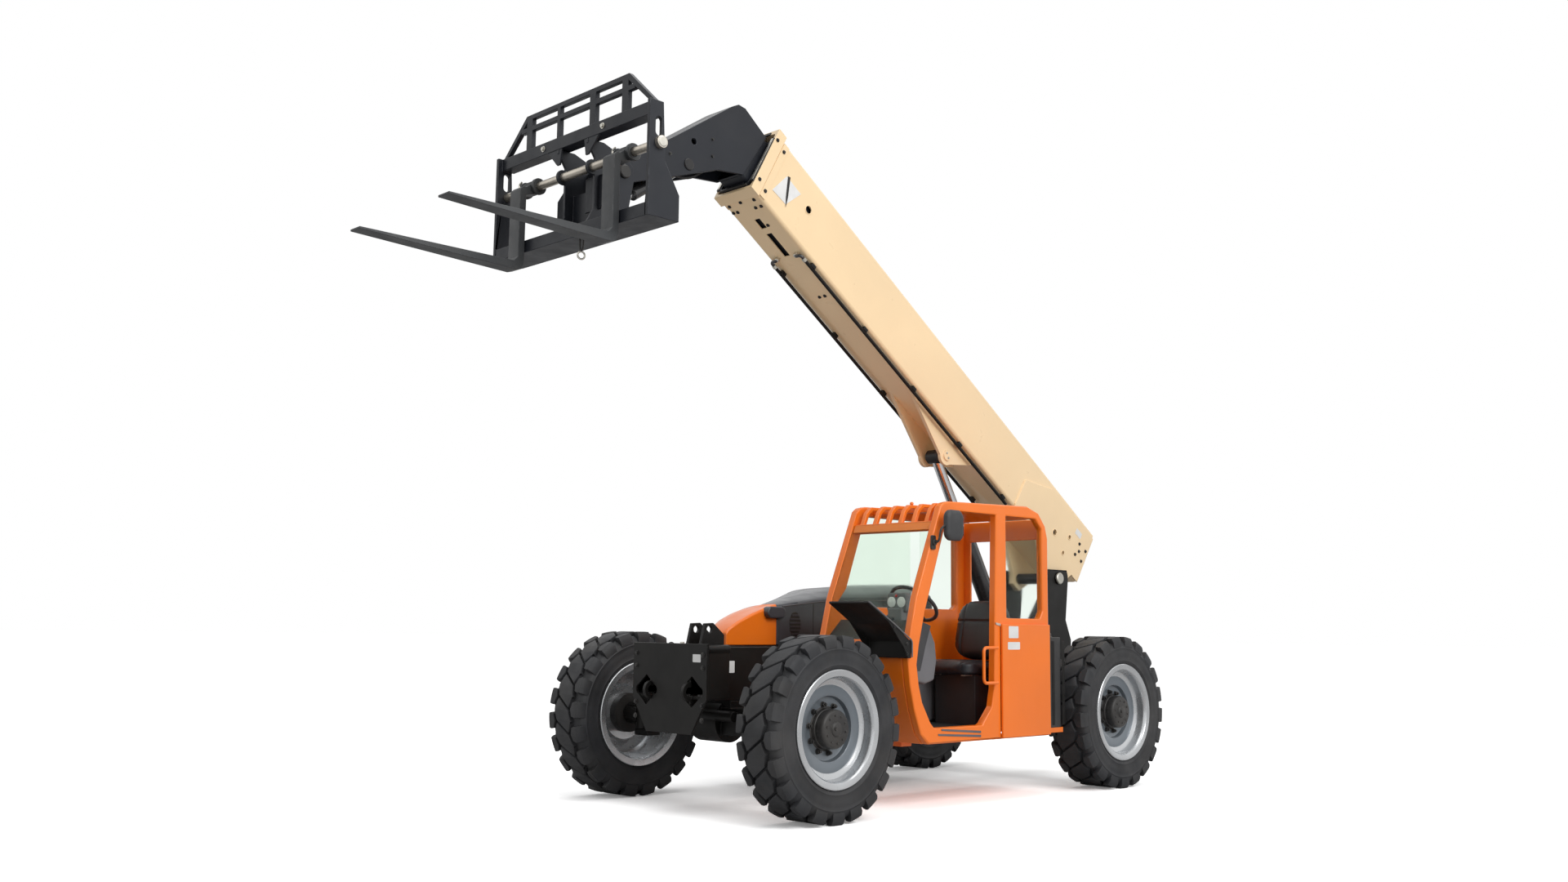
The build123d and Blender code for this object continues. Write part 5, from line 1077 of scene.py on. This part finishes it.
for side_name, hand in SIDES:
    for name, finish, outline, y, depth, bevel in SIDE_TRIM:
        plates(f"{name}_{side_name}", OUTER, finish, [(outline, boom_side(hand * y, hand), depth)], bevel)
    bolts(f"boom_side_bolts_{side_name}", [
        (on_boom(a, u, hand * y), LEFT * hand) for a, u, y in SIDE_BOLTS
    ], OUTER, 0.0115)
    bm = bmesh.new()
    for along, up, radius, face in HOLES:
        donut(bm, frame_at(on_boom(along, up, hand * face), LEFT * hand), radius + 0.001, 0.0045, 36, 10)
    add_piece(f"hole_rims_{side_name}", bm, OUTER, "boom_cream")
    tube(f"cheek_weld_{side_name}", [
        on_boom(a, u, hand * 0.2015) for a, u in (
            (0.8315, 0.232), (0.8315, 0.511), (0.421, 0.7115), (-0.330, 0.7115))
    ], 0.0048, OUTER, "boom_cream", bend=0.03)
    tube(f"pipe_end_{side_name}", [
        on_boom(a, u, hand * y) for a, u, y in (
            (4.048, PIPE_UP, PIPE_Y), (4.100, PIPE_UP, PIPE_Y), (4.100, PIPE_UP, PIPE_TURN_Y),
            (4.100, 0.206, PIPE_TURN_Y))
    ], 0.0138, OUTER, "cylinder_black", bend=0.024)
    turned(f"pipe_nuts_{side_name}", OUTER, "zinc", [
        ([(0, 0), (0.021, 0), (0.021, 0.026), (0.017, 0.030), (0, 0.030)],
         frame_at(on_boom(4.100, 0.205, hand * PIPE_TURN_Y), -UP)),
        ([(0, 0), (0.019, 0), (0.019, 0.030), (0, 0.030)],
         frame_at(on_boom(4.035, PIPE_UP, hand * PIPE_Y), ALONG)),
    ], 0.001, steps=6)
bolts("boom_underside_bolts", [
    (on_boom(a, 0.2038, y), -UP) for a, y in (
        (4.690, 0.125), (4.616, 0.081), (4.616, 0.142), (4.690, -0.155), (4.625, -0.166), (4.621, -0.120),
        (4.700, -0.020), (4.431, 0.060), (3.63, -0.015), (3.63, 0.045))
], OUTER, 0.011)
plates("boom_underside_wear_strip", OUTER, "nut_black", [
    (((-0.150, 0.2195), (0.150, 0.2195), (0.150, 0.2295), (-0.150, 0.2295)), boom_across(4.818), 0.020),
    (((-0.150, 0.7340), (0.150, 0.7340), (0.150, 0.7600), (-0.150, 0.7600)), boom_across(4.874), 0.012),
])
tube("ear_hose", [
    on_boom(1.70, 0.180, -0.131), on_boom(1.72, 0.120, -0.145), on_boom(1.83, 0.060, -0.145),
    on_boom(1.90, 0.110, -0.140), on_boom(1.96, 0.196, -0.128),
], 0.006, OUTER, "rubber", bend=0.03)
LIFT_PIN = (1.764, 0.040)  # along the boom and up
bm = bmesh.new()
lathe(bm, [
    (0.035, -0.068), (0.056, -0.068), (0.061, -0.062), (0.061, 0.062), (0.056, 0.068), (0.035, 0.068)
], frame_at(on_boom(*LIFT_PIN), LEFT), 40)
add_piece("rod_eye_block", bm, BODY_OF["lift_rod"], "nut_black")
bolts("ear_pin_bolts", [
    (on_boom(LIFT_PIN[0] + dx, LIFT_PIN[1] + dz, hand * 0.1392), LEFT * hand) for _, hand in SIDES
    for dx, dz in ((0.020, 0.012), (-0.020, -0.012))
], OUTER, 0.008, "zinc")
TOWER_TOP = PIVOT + TOP * 0.080  # the towers are cut level here
for side_name, _ in SIDES:
    node = f"boom_tower_{side_name}"
    bm = form_of(node)
    bmesh.ops.bisect_plane(bm, geom=bm.verts[:] + bm.edges[:] + bm.faces[:], dist=1e-5, plane_co=TOWER_TOP,
                           plane_no=TOP, clear_outer=True)
    bmesh.ops.holes_fill(bm, edges=[e for e in bm.edges if e.is_boundary])
    merge_facets(bm)
    dressed(node, bm, 0.010, 3)
turned("pivot_pin_caps", CHASSIS, "zinc", [
    (cap(0.016, 0.046, 0.052, 0.010),
     frame_at(PIVOT + LEFT * hand * (abs(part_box("boom_pivot_pin")[hand > 0].y) + 0.0002), LEFT * hand))
    for _, hand in SIDES
], 0.0)

# ---- boom head and carriage
SHAFT_X, SHAFT_Z = 3.150, 4.440
turned("head_pin_bosses", INNER, "nut_black", [
    (cap(0.010, 0.040, 0.044, 0.006), frame_at(at(2.260, hand * 0.1502, 4.680), LEFT * hand))
    for _, hand in SIDES
], 0.0)
bolts("head_bolts", [
    (at(x, hand * 0.1503, z), LEFT * hand) for _, hand in SIDES
    for x, z in ((2.03, 4.93), (2.03, 4.80), (2.44, 4.72), (2.60, 4.62))
], INNER, 0.010)
tube("head_hose", [
    at(2.05, 0.080, 4.700), at(2.20, 0.080, 4.600), at(2.36, 0.060, 4.600), at(2.40, 0.040, 4.640)
], 0.011, INNER, "rubber", bend=0.05)
plates("beam_gussets", CARRIAGE, "head_black", [
    (((hand * 0.300, 4.637), (hand * 0.130, 4.637), (hand * 0.150, 4.520), (hand * 0.184, 4.520)),
     facing(3.182), 0.014) for _, hand in SIDES
] + [
    (((0.030, 4.150), (0.200, 4.150), (0.240, 4.200), (0.240, 4.395), (0.030, 4.395)), facing(3.085), 0.014),
    (((-0.300, 4.040), (-0.184, 4.040), (-0.184, 4.395), (-0.300, 4.300)), facing(3.085), 0.014),
], 0.003)
bolts("beam_bolts", [(at(3.2005, y, 4.680), FORWARD) for y in (-0.35, 0.345)], CARRIAGE, 0.015, "zinc")
turned("shaft_caps", CARRIAGE, "zinc", [
    ([(0, 0.010), (0.030, 0.009), (0.040, 0.002), (0.042, -0.006), (0, -0.006)],
     frame_at(at(SHAFT_X, hand * (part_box("fork_shaft")[1].y - 0.004), SHAFT_Z), LEFT * hand))
    for _, hand in SIDES
], 0.0)
turned("pivot_bosses", CARRIAGE, "nut_black", [
    (cap(0.012, 0.042, 0.048, 0.006, -0.006), frame_at(at(2.880, hand * 0.1905, 4.470), LEFT * hand))
    for _, hand in SIDES
], 0.0)
bm = bmesh.new()
donut(bm, frame_at(at(3.190, 0.130, 3.815), (0.25, 1, 0)), 0.026, 0.0065, 40, 12)
add_piece("hanging_ring", bm, CARRIAGE, "zinc")
tube("shackle", [
    at(3.190, y, z) for y, z in (
        (0.112, 3.935), (0.112, 3.870), (0.130, 3.838), (0.148, 3.870), (0.148, 3.935))
], 0.007, CARRIAGE, "nut_black", bend=0.016)
for side_name, hand in SIDES:
    fork = f"{side_name}_fork"
    middle = (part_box(f"fork_{side_name}")[0].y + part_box(f"fork_{side_name}")[1].y) / 2
    turned(f"fork_eye_{side_name}", fork, "fork_steel", [
        ([(0.0325, 0.016), (0.056, 0.016), (0.060, 0.010), (0.060, -0.010), (0.056, -0.016),
          (0.0325, -0.016)], frame_at(at(SHAFT_X, middle + off, SHAFT_Z), LEFT)) for off in (-0.078, 0.078)
    ], 0.0)
    tube(f"fork_lock_{side_name}", [
        at(3.262, middle, 4.415), at(3.262, middle, 4.445), at(3.262, middle + 0.03, 4.455)
    ], 0.007, fork, "zinc", bend=0.012)

# ---- chassis
FRONT_FACE = 2.2203  # X of the front plate's outer face, with a hair's gap
tube("front_top_bar", [at(2.205, -0.400, 1.1525), at(2.205, 0.400, 1.1525)], 0.010, CHASSIS, "chassis_black")
turned("tow_pin", CHASSIS, "zinc", [
    (cap(0.030, 0.014, 0.016, 0.026, -0.13), frame_at(at(2.10, 0.0, 1.165), TOP))
], 0.0, steps=24)
bolts("front_plate_bolts", [
    (at(FRONT_FACE, y, z), FORWARD) for y in (-0.365, 0.365) for z in (0.66, 0.76, 1.02, 1.11)
], CHASSIS, 0.013)
plates("front_stickers", CHASSIS, "blank_plate", [
    (round_rect(0.085, 0.055, 0.006, 0.300, 1.085), facing(FRONT_FACE + 0.0001), 0.0008),
    (round_rect(0.070, 0.085, 0.006, 1.841, 1.020), beside(0.2403), 0.0008),
], 0.0)
for end, rod_x in (("front", 1.45 - 0.19), ("rear", -1.45 + 0.19)):
    tube(f"{end}_track_rod", [at(rod_x, y, 0.560) for y in (-0.42, 0.42)], 0.016, CHASSIS, "rod_chrome")
